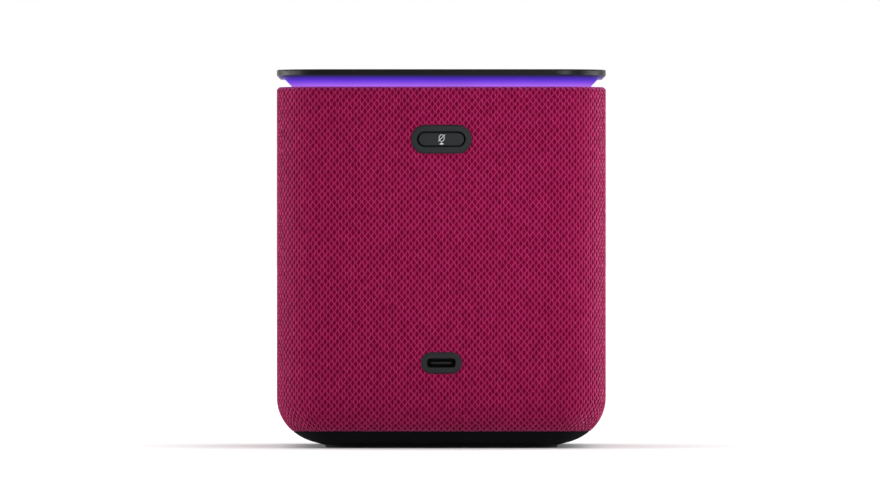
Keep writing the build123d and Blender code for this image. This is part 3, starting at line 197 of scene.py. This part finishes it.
def moulded(name, colour, roughness, level=0.5, grain=2600.0, relief=0.02):
    """Moulded plastic or rubber with a fine spark-eroded grain."""
    g = Graph(name)
    fine = g.noise(grain, detail=3)
    cloud = g.noise(grain / 40, detail=2)
    shade = g.ramp(cloud, (0.3, scaled(colour, 1 - MOTTLE)), (0.7, scaled(colour, 1 + MOTTLE)))
    g.bump(fine, relief * MM)
    rough = g.remap(fine, 0.3, 0.7, roughness - 0.05, roughness + 0.05)
    return g.set(Base_Color=shade, Roughness=rough, Specular_IOR_Level=level)


def metal(name, colour, roughness, streak=(1, 1, 30)):
    """Bare or plated metal with fine drawing marks."""
    g = Graph(name)
    marks = g.noise(DRAWN_GRAIN, detail=4, stretch=streak)
    shade = g.ramp(marks, (0.25, scaled(colour, 0.85)), (0.75, scaled(colour, 1.08)))
    rough = g.remap(marks, 0.3, 0.7, roughness - 0.08, roughness + 0.08)
    g.bump(marks, 0.01 * MM)
    return g.set(Base_Color=shade, Roughness=rough, Metallic=1.0)


def cloth(name, colour, threads=1400.0):
    """Plain woven or pulp sheet: crossed bands with a fibrous noise over them."""
    g = Graph(name)
    weave = []
    for direction in ("X", "Z"):
        place = g.node("ShaderNodeTexCoord")
        band = g.node("ShaderNodeTexWave", bands_direction=direction)
        band.inputs["Scale"].default_value = threads
        band.inputs["Distortion"].default_value = 0.6
        g.join(place.outputs["Object"], band.inputs["Vector"])
        weave.append(band.outputs["Fac"])
    crossed = g.math("MULTIPLY", *weave)
    fibre = g.math("MULTIPLY_ADD", g.noise(4000.0, detail=4), 0.5, crossed)
    shade = g.ramp(fibre, (0.2, scaled(colour, 0.7)), (0.9, scaled(colour, 1.2)))
    g.bump(fibre, 0.05 * MM)
    return g.set(Base_Color=shade, Roughness=0.9, Specular_IOR_Level=0.2)


def circuit(name, mask, copper):
    """Solder mask with tracks that show through it as slightly lighter lines."""
    g = Graph(name)
    place = g.node("ShaderNodeTexCoord")
    cells = g.node("ShaderNodeTexVoronoi", distance="CHEBYCHEV", feature="DISTANCE_TO_EDGE")
    cells.inputs["Scale"].default_value = 260.0
    g.join(place.outputs["Object"], cells.inputs["Vector"])
    track = g.remap(cells.outputs["Distance"], 0.02, 0.06, 1.0, 0.0)
    g.bump(track, 0.03 * MM)
    return g.set(Base_Color=g.mix(track, mask, copper), Roughness=0.35)


def wound(name, colour):
    """Enamelled copper wire, wound in close turns, with painted shade in the grooves between them."""
    g = Graph(name)
    place = g.node("ShaderNodeTexCoord")
    turns = g.node("ShaderNodeTexWave", bands_direction="Y")
    turns.inputs["Scale"].default_value = 900.0
    g.join(place.outputs["Object"], turns.inputs["Vector"])
    # painted shade: the colour darkens to 0.4 between the turns
    shade = g.ramp(turns.outputs["Fac"], (0.0, scaled(colour, 0.4)), (1.0, colour))
    g.bump(turns.outputs["Fac"], 0.05 * MM)
    return g.set(Base_Color=shade, Roughness=0.3, Metallic=0.8)


def glowing_guide(name):
    """Milky light guide, lit from inside: deep violet under the panel, paler at the fabric."""
    g = Graph(name)
    rise = g.slope(g.height(), FABRIC_TOP, GUIDE_TOP)
    spots = g.noise(60.0, detail=1, stretch=(1, 1, 0.1))
    violet = g.ramp(
        rise,
        (0.12, (0.40, 0.125, 0.79)),
        (0.31, (0.25, 0.083, 0.785)),
        (0.50, (0.162, 0.044, 0.715)),
        (0.69, (0.083, 0.022, 0.56)),
        (0.88, (0.042, 0.016, 0.28)),
        (0.98, (0.02, 0.008, 0.12)),
    )
    g.set(Emission_Color=violet, Emission_Strength=g.remap(spots, 0.2, 0.8, 0.93, 1.07))
    return g.set(Base_Color=(0.01, 0.008, 0.02), Roughness=0.5, Specular_IOR_Level=0.04)


def panel_finish(name):
    """Satin black panel. Its underside and lower rounding carry a painted violet glow: emission that
    stands in for the ring's light falling on them.
    """
    g = Graph(name)
    fine = g.noise(3200.0, detail=3)
    smudge = g.noise(45.0, detail=3)
    shade = g.ramp(smudge, (0.35, (0.004, 0.0043, 0.0055)), (0.7, (0.0046, 0.005, 0.0064)))
    # painted glow: emission that grows towards the ring, in place of the ring's light on the panel
    painted_glow_share = g.slope(g.height(), GUIDE_TOP + PANEL_PAINTED_GLOW, GUIDE_TOP)
    violet = g.ramp(painted_glow_share, (0.0, (0.0, 0.0, 0.0)), (0.5, (0.004, 0.002, 0.02)), (1.0, (0.03, 0.014, 0.15)))
    g.bump(fine, 0.008 * MM)
    rough = g.remap(smudge, 0.3, 0.7, 0.31, 0.34)
    g.set(Emission_Color=violet, Emission_Strength=1.0)
    return g.set(Base_Color=shade, Roughness=rough, Specular_IOR_Level=0.11)


def knitted(name):
    """Raspberry knit: pale upright yarns that wave round dark ovals, red in between. The ovals' darkness
    is partly the knit's own and partly painted shade in the pits. The yarns' paleness is partly their
    own and partly a painted highlight on their crests. The top edge carries a painted violet glow of the
    ring's light.
    """
    g = Graph(name)
    lattice = g.node("ShaderNodeUVMap", uv_map="knit")
    waver = g.noise(700.0, detail=1)
    split = g.node("ShaderNodeSeparateXYZ")
    g.join(lattice.outputs[0], split.inputs[0])
    u, v = split.outputs["X"], split.outputs["Y"]
    strays = g.math("MULTIPLY_ADD", waver, 2 * YARN_STRAY, -YARN_STRAY)
    swing = g.math("COSINE", g.math("MULTIPLY", v, 2 * math.pi))
    wave = g.math("MULTIPLY_ADD", swing, YARN_SWING, 0.25)  # a yarn's way up beside the diamonds
    column = g.math("FRACT", g.math("ADD", g.math("ADD", u, strays), 0.5))
    beside = g.math("ABSOLUTE", g.math("SUBTRACT", column, 0.5))
    side = g.math("ABSOLUTE", g.math("SUBTRACT", beside, wave))
    yarn = g.remap(side, 0.0, YARN_WIDE, 1.0, 0.0)
    cells = []
    offsets = []                                            # from the middle of the diamond
    for way in ("ADD", "SUBTRACT"):
        lean = g.math("ADD", g.math(way, u, v), strays)
        cells.append(g.math("FLOOR", g.math("ADD", lean, 0.5)))
        offsets.append(g.math("SUBTRACT", lean, cells[-1]))
    across = g.math("MULTIPLY", g.math("ADD", *offsets), 0.5 / OVAL_WIDE)
    along = g.math("MULTIPLY", g.math("SUBTRACT", *offsets), 0.5 / OVAL_TALL)
    squares = [g.math("MULTIPLY", offset, offset) for offset in (across, along)]
    reach = g.math("SQRT", g.math("ADD", *squares))         # 1 on the rim of the oval
    pit = g.remap(reach, 0.7, 1.2, 1.0, 0.0)
    join = g.node("ShaderNodeCombineXYZ")
    g.join(cells[0], join.inputs[0])
    g.join(cells[1], join.inputs[1])
    chance = g.node("ShaderNodeTexWhiteNoise", noise_dimensions="2D")
    g.join(join.outputs[0], chance.inputs["Vector"])
    luck = chance.outputs["Value"]
    # each diamond has its own shade, and so has each stretch of yarn
    ground = g.mix(luck, (0.175, 0.0028, 0.034), (0.215, 0.004, 0.043))
    # the pits' darker colour is partly the knit's own, partly painted shade in the pits
    pit_tone_and_painted_shade = g.mix(luck, (0.097, 0.0003, 0.018), (0.137, 0.0008, 0.027))
    # the yarns' paler colour is partly their own, partly a painted highlight on their crests
    yarn_tone_and_painted_highlight = g.mix(g.noise(500.0, detail=2), (0.29, 0.02, 0.085), (0.37, 0.035, 0.125))
    shade = g.mix(g.math("MAXIMUM", pit, g.math("MULTIPLY_ADD", yarn, -0.3, 0.3)), ground, pit_tone_and_painted_shade)
    shade = g.mix(g.math("MULTIPLY", yarn, g.remap(luck, 0.0, 1.0, 0.75, 1.0)), shade, yarn_tone_and_painted_highlight)
    twist = g.noise(2600.0, detail=3, stretch=(1, 1, 0.5))
    g.bump(g.math("MULTIPLY_ADD", twist, 0.35, g.math("SUBTRACT", yarn, pit)), 0.09 * MM)
    # painted glow: violet emission over the top edge stands in for the ring's light falling on the
    # fabric's lip
    painted_glow_share = g.slope(g.height(), FABRIC_TOP - FABRIC_PAINTED_GLOW, FABRIC_TOP)
    violet = g.ramp(painted_glow_share, (0.0, (0.0, 0.0, 0.0)), (0.6, (0.008, 0.002, 0.04)), (1.0, (0.07, 0.02, 0.2)))
    g.set(Emission_Color=violet, Emission_Strength=1.0)
    g.set(Sheen_Weight=0.6, Sheen_Roughness=0.35, Sheen_Tint=(1.0, 0.38, 0.62))
    return g.set(Base_Color=shade, Roughness=0.9, Specular_IOR_Level=0.02)


def printed(name):
    """Light grey print of the mute symbol."""
    g = Graph(name)
    wear = g.noise(1500.0, detail=3)
    shade = g.ramp(wear, (0.3, (0.46, 0.47, 0.49)), (0.7, (0.54, 0.55, 0.57)))
    return g.set(Base_Color=shade, Roughness=0.5)


FINISHES = {
    "panel_black": panel_finish("panel_black"),
    "base_black": moulded("base_black", (0.0035, 0.0037, 0.0048), 0.7, level=0.04, relief=0.012),
    "bezel_grey": moulded("bezel_grey", (0.0105, 0.0122, 0.013), 0.6, level=0.15, relief=0.015),
    "button_grey": moulded("button_grey", (0.0105, 0.0122, 0.013), 0.6, level=0.15, relief=0.012),
    "raspberry_knit": knitted("raspberry_knit"),
    "frame_black": moulded("frame_black", (0.02, 0.02, 0.024), 0.6),
    "inner_black": moulded("inner_black", (0.03, 0.03, 0.032), 0.55, relief=0.03),
    "light_diffuser": glowing_guide("light_diffuser"),
    "led_lens": moulded("led_lens", (0.85, 0.85, 0.78), 0.2, relief=0.0),
    "circuit_board": circuit("circuit_board", (0.008, 0.06, 0.028), (0.03, 0.14, 0.06)),
    "shield_metal": metal("shield_metal", (0.62, 0.62, 0.6), 0.35),
    "foam_rubber": moulded("foam_rubber", (0.04, 0.04, 0.042), 0.95, level=0.1, grain=900.0, relief=0.1),
    "foot_rubber": moulded("foot_rubber", (0.006, 0.006, 0.0065), 0.8, level=0.1, relief=0.04),
    "silicone": moulded("silicone", (0.45, 0.45, 0.46), 0.5, relief=0.01),
    "switch_plastic": moulded("switch_plastic", (0.08, 0.08, 0.082), 0.45),
    "port_metal": metal("port_metal", (0.005, 0.005, 0.0055), 0.6),
    "port_plastic": moulded("port_plastic", (0.014, 0.014, 0.0145), 0.5, level=0.15, relief=0.006),
    "contact_gold": metal("contact_gold", (0.16, 0.13, 0.09), 0.4),
    "basket_metal": metal("basket_metal", (0.05, 0.05, 0.052), 0.5),
    "plated_steel": metal("plated_steel", (0.55, 0.55, 0.53), 0.35),
    "ferrite": moulded("ferrite", (0.05, 0.05, 0.052), 0.75, grain=1400.0, relief=0.05),
    "copper_winding": wound("copper_winding", (0.62, 0.24, 0.1)),
    "cone_paper": cloth("cone_paper", (0.03, 0.03, 0.031)),
    "surround_rubber": moulded("surround_rubber", (0.02, 0.02, 0.021), 0.6, level=0.3),
    "spider_cloth": cloth("spider_cloth", (0.45, 0.3, 0.1), threads=900.0),
    "radiator_metal": metal("radiator_metal", (0.36, 0.36, 0.37), 0.45),
    "dome_metal": metal("dome_metal", (0.75, 0.75, 0.76), 0.25),
    "chip_black": moulded("chip_black", (0.02, 0.02, 0.021), 0.6, relief=0.01),
    "pad_grey": moulded("pad_grey", (0.45, 0.47, 0.5), 0.8, relief=0.03),
    "spreader_metal": metal("spreader_metal", (0.7, 0.7, 0.7), 0.4),
    "capacitor_metal": metal("capacitor_metal", (0.6, 0.6, 0.62), 0.3, streak=(1, 1, 8)),
    "connector_white": moulded("connector_white", (0.8, 0.78, 0.7), 0.5),
    "ribbon_film": moulded("ribbon_film", (0.82, 0.82, 0.8), 0.35, relief=0.005),
    "lead_red": moulded("lead_red", (0.45, 0.03, 0.02), 0.45, relief=0.01),
    "lead_black": moulded("lead_black", (0.02, 0.02, 0.021), 0.45, relief=0.01),
    "screw_steel": metal("screw_steel", (0.45, 0.45, 0.45), 0.35),
}
for node in NODES.values():
    for place in node.material_slots:
        place.material = FINISHES[place.material.name.split(".")[0]]


# ---------------------------------------------------------------- shared shapes
def new_mesh(name, points, faces, material, smooth=False):
    """A mesh object made from points and faces, with one material."""
    mesh = bpy.data.meshes.new(name)
    mesh.from_pydata(points, [], faces)
    mesh.polygons.foreach_set("use_smooth", [smooth] * len(faces))
    mesh.materials.append(material)
    mesh.update()
    made = bpy.data.objects.new(name, mesh)
    bpy.context.scene.collection.objects.link(made)
    return made


QUARTER_ARC = CORNER_R * math.pi / 2
RUN = HALF - CORNER_R
QUARTER = 2 * RUN + QUARTER_ARC     # from the middle of one side to the middle of the next
PERIMETER = 4 * QUARTER


def plan_point(along):
    """Point and outward normal of the plan outline, a length along it from the middle of +X."""
    turn, rest = divmod(along, QUARTER)
    if rest < RUN:
        point, normal = Vector((HALF, rest)), Vector((1, 0))
    elif rest < RUN + QUARTER_ARC:
        angle = (rest - RUN) / CORNER_R
        normal = Vector((math.cos(angle), math.sin(angle)))
        point = Vector((RUN, RUN)) + CORNER_R * normal
    else:
        point, normal = Vector((QUARTER - rest, HALF)), Vector((0, 1))
    for _ in range(int(turn) % 4):
        point = Vector((-point.y, point.x))
        normal = Vector((-normal.y, normal.x))
    return point, normal


def fabric_profile():
    """The fabric's section from its top lip to its tucked hem, as (inset, height) points."""
    points = [(LIP, FABRIC_TOP)]
    steps = 12
    for n in range(steps + 1):
        angle = math.pi / 2 * n / steps
        points.append((EDGE_R * (1 - math.sin(angle)), FABRIC_TOP - EDGE_R * (1 - math.cos(angle))))
    steps = 32
    seam = math.asin((CURVE_Z - SEAM_Z - HEM_R / 2) / CURVE_UP)
    for n in range(steps + 1):
        angle = seam * n / steps
        points.append((CURVE_OUT * (1 - math.cos(angle)), CURVE_Z - CURVE_UP * math.sin(angle)))
    inset, height = points[-1]
    points.append((inset + HEM_R, SEAM_Z))
    points.append((inset + HEM_R + HEM, SEAM_Z))
    return points


PROFILE = fabric_profile()
REACHES = [0.0]
for before, after in zip(PROFILE, PROFILE[1:]):
    REACHES.append(REACHES[-1] + math.dist(before, after))
FABRIC_LENGTH = REACHES[-1]


def profile_point(down):
    """Inset, height and outward section normal, a length down the fabric's section."""
    down = min(max(down, 0.0), FABRIC_LENGTH)
    n = min(bisect.bisect_right(REACHES, down), len(PROFILE) - 1)
    before, after = Vector(PROFILE[n - 1]), Vector(PROFILE[n])
    run = after - before
    point = before + run * ((down - REACHES[n - 1]) / (REACHES[n] - REACHES[n - 1]))
    run.normalize()
    return point.x, point.y, -run.y, -run.x


MUTE_Z = (BUTTON_LOW.z + BUTTON_HIGH.z) / 2
PORT_Z = (PORT_LOW.z + PORT_HIGH.z) / 2
BEZELS = (                          # height over the floor, then width, height and corner
    (MUTE_Z, 20.0 * MM, 9.5 * MM, 4.4 * MM),
    (PORT_Z, 13.5 * MM, 7.1 * MM, 3.3 * MM),
)


def bezel_distance(x, z):
    """Distance from a point on the back wall to the nearest bezel, and the way out of it."""
    nearest = None
    for middle, wide, tall, corner in BEZELS:
        across = abs(x) - (wide / 2 - corner)
        up = abs(z - middle) - (tall / 2 - corner)
        gap = math.hypot(max(across, 0), max(up, 0)) + min(max(across, up), 0) - corner
        if across > 0 and up > 0:
            way = Vector((across, up)).normalized()
        elif across > up:
            way = Vector((1, 0))
        else:
            way = Vector((0, 1))
        if nearest is None or gap < nearest[0]:
            nearest = (gap, Vector((math.copysign(way.x, x), math.copysign(way.y, z - middle))))
    return nearest


# ---------------------------------------------------------------- fabric sleeve
PITCH_U = PERIMETER / KNIT_COLUMNS
PITCH_V = FABRIC_LENGTH / KNIT_ROWS


def on_back(out):
    """True where the outward normal is that of the flat back wall, which holds the bezels."""
    return out.y > 0.999


def on_fabric(u, v, sunk):
    """Point of the knit at column u and row v, sunk below the yarns' crests."""
    plan, out = plan_point((u * PITCH_U) % PERIMETER)
    inset, height, side, up = profile_point(v * PITCH_V)
    x = plan.x
    if on_back(out) and inset == 0:
        gap, way = bezel_distance(x, height)
        if gap < TUCK_REACH:
            push = max(TUCK_CLEAR - gap, 0)
            x += way.x * push
            height += way.y * push
            sunk += TUCK_DEPTH * (1 - max(gap, 0) / TUCK_REACH) ** 2
    plan = Vector((x, plan.y)) - out * (inset + sunk * side)
    return plan.x, plan.y, height - sunk * up


def in_a_bezel(u, v):
    """True where a diamond lies wholly behind a bezel."""
    plan, out = plan_point((u * PITCH_U) % PERIMETER)
    height = profile_point(v * PITCH_V)[1]
    return on_back(out) and bezel_distance(plan.x, height)[0] < -HIDDEN


def knit_mesh():
    """The knitted sleeve, with each diamond of its lattice as a shallow pit."""
    rng = random.Random(7)
    points, faces, places = [], [], []
    crossings = {}

    def crossing(u, v):
        key = (round(2 * u) % (2 * KNIT_COLUMNS), round(2 * v))
        if key not in crossings:
            stray = [rng.uniform(-KNIT_JITTER, KNIT_JITTER) for _ in range(2)]
            points.append(on_fabric(u + stray[0], v + stray[1], 0.0))
            crossings[key] = len(points) - 1
        return crossings[key]

    for row in range(1, 2 * KNIT_ROWS):
        v = row / 2
        for column in range(KNIT_COLUMNS):
            u = column + (row % 2) / 2
            if in_a_bezel(u, v):
                continue
            size = rng.uniform(*PIT_SIZES)
            depth = PIT_DEPTH * rng.uniform(*PIT_DEPTHS)
            wide, tall = PIT_WIDE * size / 2, PIT_TALL * size / 2
            outer = [(u + 0.5, v), (u, v - 0.5), (u - 0.5, v), (u, v + 0.5)]
            inner = [(u + wide, v), (u, v - tall), (u - wide, v), (u, v + tall)]
            rim = [crossing(*place) for place in outer]
            first = len(points)
            points.extend(on_fabric(*place, depth) for place in inner)
            for n in range(4):
                m = (n + 1) % 4
                faces.append((rim[n], rim[m], first + m, first + n))
                places.extend((outer[n], outer[m], inner[m], inner[n]))
            faces.append(tuple(range(first, first + 4)))
            places.extend(inner)
    return points, faces, places


points, faces, places = knit_mesh()
fabric = new_mesh("fabric", points, faces, FINISHES["raspberry_knit"], smooth=True)
uv_layer = fabric.data.uv_layers.new(name="knit")
uv_layer.data.foreach_set("uv", [value for place in places for value in place])
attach(fabric, "housing")
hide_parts("fabric_sleeve")

# ---------------------------------------------------------------- mute symbol
# A generic crossed-out microphone: outlined capsule, slash, stem and flared foot.
ICON_T = 0.02 * MM
ICON_FACE = BUTTON_HIGH.y
ICON_LINE = 0.17 * MM
ICON_RIGHT = 0.1 * MM               # the symbol sits this far off the button's middle
CAPSULE_WIDE = 1.88 * MM
CAPSULE_TALL = 2.4 * MM
CAPSULE_UP = 0.4 * MM               # capsule's middle over the button's middle
SLASH_X = 1.1 * MM                  # half of the slash's reach across and up
SLASH_UP = 1.13 * MM
FOOT_WIDE = 1.25 * MM
FOOT_NECK = 0.45 * MM
FOOT_TALL = 0.42 * MM
FOOT_LOW = -1.72 * MM


def icon_strip(outlines):
    """Thin plates on the button. Each lies between two outlines of (right, up) points."""
    points, faces = [], []
    for left, right in outlines:
        first = len(points)
        count = len(left)
        for out in (0.0, ICON_T):
            for across, up in (*left, *right):
                points.append((-across - ICON_RIGHT, ICON_FACE + out, MUTE_Z + up))
        lift = 2 * count                    # from a point to the one on the face over it
        for n in range(count - 1):
            near, far = first + n, first + count + n
            faces.append((near + lift, near + lift + 1, far + lift + 1, far + lift))
            faces.append((near, near + 1, near + lift + 1, near + lift))
            faces.append((far + 1, far, far + lift, far + lift + 1))
        near, far = first, first + count
        faces.append((near, near + lift, far + lift, far))
        near, far = near + count - 1, far + count - 1
        faces.append((near, far, far + lift, near + lift))
    return points, faces


def capsule_outline(shrink):
    """The capsule's ellipse, shrunk all round."""
    steps = 40
    return [
        (
            (CAPSULE_WIDE / 2 - shrink) * math.cos(math.tau * n / steps),
            CAPSULE_UP + (CAPSULE_TALL / 2 - shrink) * math.sin(math.tau * n / steps),
        )
        for n in range(steps + 1)
    ]


def slash_outline(side):
    """One long side of the slash, from its lower left end to its upper right end."""
    way = Vector((SLASH_X, SLASH_UP)).normalized()
    across = Vector((-way.y, way.x)) * side * ICON_LINE / 2
    middle = Vector((0, CAPSULE_UP))
    ends = [middle - Vector((SLASH_X, SLASH_UP)), middle + Vector((SLASH_X, SLASH_UP))]
    return [tuple(end + across) for end in ends]


def foot_outline(side):
    """One side of the stem and its flared foot, from the top down."""
    stem_top = CAPSULE_UP - CAPSULE_TALL / 2 + ICON_LINE / 2
    foot_top = FOOT_LOW + FOOT_TALL
    outline = [(side * ICON_LINE / 2, stem_top), (side * ICON_LINE / 2, foot_top)]
    steps = 6
    for n in range(1, steps + 1):
        share = n / steps
        wide = FOOT_NECK / 2 + (FOOT_WIDE - FOOT_NECK) / 2 * share
        outline.append((side * wide, foot_top - FOOT_TALL * 0.65 * share ** 2.2))
    outline.append((side * FOOT_WIDE / 2, FOOT_LOW))
    return outline


icon = new_mesh(
    "mute_icon",
    *icon_strip(
        (
            (capsule_outline(0), capsule_outline(ICON_LINE)),
            (slash_outline(1), slash_outline(-1)),
            (foot_outline(-1), foot_outline(1)),
        )
    ),
    printed("icon_print"),
)
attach(icon, "mute_button")

# ---------------------------------------------------------------- floor, light and camera
FLOOR_HALF = 40.0
FLOOR_GLOW_SHADED = 0.06                    # the floor glows evenly, but less near the object: a painted shadow round its foot
GLOW_FAR = 0.3
PAINTED_SHADOW_FADE = (0.055, 0.14)           # distances from the origin over which the painted shadow fades into the full glow
ROOM_FRONT = 0.1                    # light of the room towards the back wall of the object
ROOM_SIDES = 1.03
ROOM_BEHIND = 1.0                   # seen past the object from its back
ROOM_TOP = 0.5                      # what the sky adds overhead
floor_look = Graph("floor_paper")
pulp = floor_look.noise(30.0, detail=4)
paper = floor_look.ramp(pulp, (0.3, (0.75, 0.75, 0.75)), (0.7, (0.77, 0.77, 0.77)))
away = floor_look.node("ShaderNodeVectorMath", operation="LENGTH")
floor_look.join(floor_look.node("ShaderNodeTexCoord").outputs["Object"], away.inputs[0])
# painted shadow: the floor's glow drops near the object
floor_glow_and_painted_shadow = floor_look.remap(away.outputs["Value"], *PAINTED_SHADOW_FADE, FLOOR_GLOW_SHADED, GLOW_FAR)
floor_look.set(Emission_Color=(1.0, 1.0, 1.0), Emission_Strength=floor_glow_and_painted_shadow)
floor_look.set(Base_Color=paper, Roughness=0.9, Specular_IOR_Level=0.1)
corners = [(x * FLOOR_HALF, y * FLOOR_HALF, 0.0) for x, y in ((-1, -1), (1, -1), (1, 1), (-1, 1))]
floor = new_mesh("floor", corners, [(0, 1, 2, 3)], floor_look.material)

# The room is dim on the side of the object's back, light to the sides and white behind it.
world = bpy.data.worlds.new("studio")
bpy.context.scene.world = world
room = Graph("studio", world)
way = room.node("ShaderNodeTexCoord")
split = room.node("ShaderNodeSeparateXYZ")
room.join(way.outputs["Generated"], split.inputs[0])
toward_back = split.outputs["Y"]
front_dim = room.remap(toward_back, 0.0, 0.6, ROOM_SIDES, ROOM_FRONT)
behind = room.remap(toward_back, -0.9, -0.5, ROOM_BEHIND - ROOM_SIDES, 0.0)
overhead = room.remap(split.outputs["Z"], 0.15, 0.75, 0.0, ROOM_TOP)
room.set(Color=(1.0, 1.0, 1.0), Strength=room.math("ADD", room.math("ADD", front_dim, behind), overhead))


def aim(thing, target):
    """Turn a light or the camera so that it looks at a point."""
    thing.rotation_euler = (Vector(target) - thing.location).to_track_quat("-Z", "Y").to_euler()


def softbox(name, place, strength, wide, tall, spread=180):
    """Softbox that looks at the middle of the object. A grid may narrow its spread."""
    light = bpy.data.lights.new(name, "AREA")
    light.shape = "RECTANGLE"
    light.energy = strength
    light.size = wide
    light.size_y = tall
    light.spread = math.radians(spread)
    made = bpy.data.objects.new(name, light)
    made.location = place
    aim(made, (0, 0, HEIGHT / 2))
    bpy.context.scene.collection.objects.link(made)


softbox("key", (-0.15, 0.34, 0.14), 0.09, 0.12, 0.12, spread=60)
# The side boxes stay lower than the top panel, so they leave no glare on it.
softbox("left", (1.0, 0.0, 0.06), 8.5, 1.2, 0.11)
softbox("right", (-1.0, 0.0, 0.06), 6.0, 0.8, 0.11)

CAMERA_AWAY = 4.0
CAMERA_SIDE = 0.45 * MM             # how far to the side of the object's middle the camera looks
FRAME_WIDTH = 293.0 * MM            # width of the view at the object's back wall
LOOK_Z = 66.17 * MM
camera_data = bpy.data.cameras.new("camera")
camera_data.sensor_width = 36.0
camera_data.lens = camera_data.sensor_width * (CAMERA_AWAY - HALF) / FRAME_WIDTH
camera_data.clip_start = 0.1
camera_data.clip_end = 100.0
camera = bpy.data.objects.new("camera", camera_data)
camera.location = (CAMERA_SIDE, CAMERA_AWAY, LOOK_Z)
aim(camera, (CAMERA_SIDE, 0, LOOK_Z))
bpy.context.scene.collection.objects.link(camera)
bpy.context.scene.camera = camera
bpy.context.scene.view_settings.view_transform = "Standard"
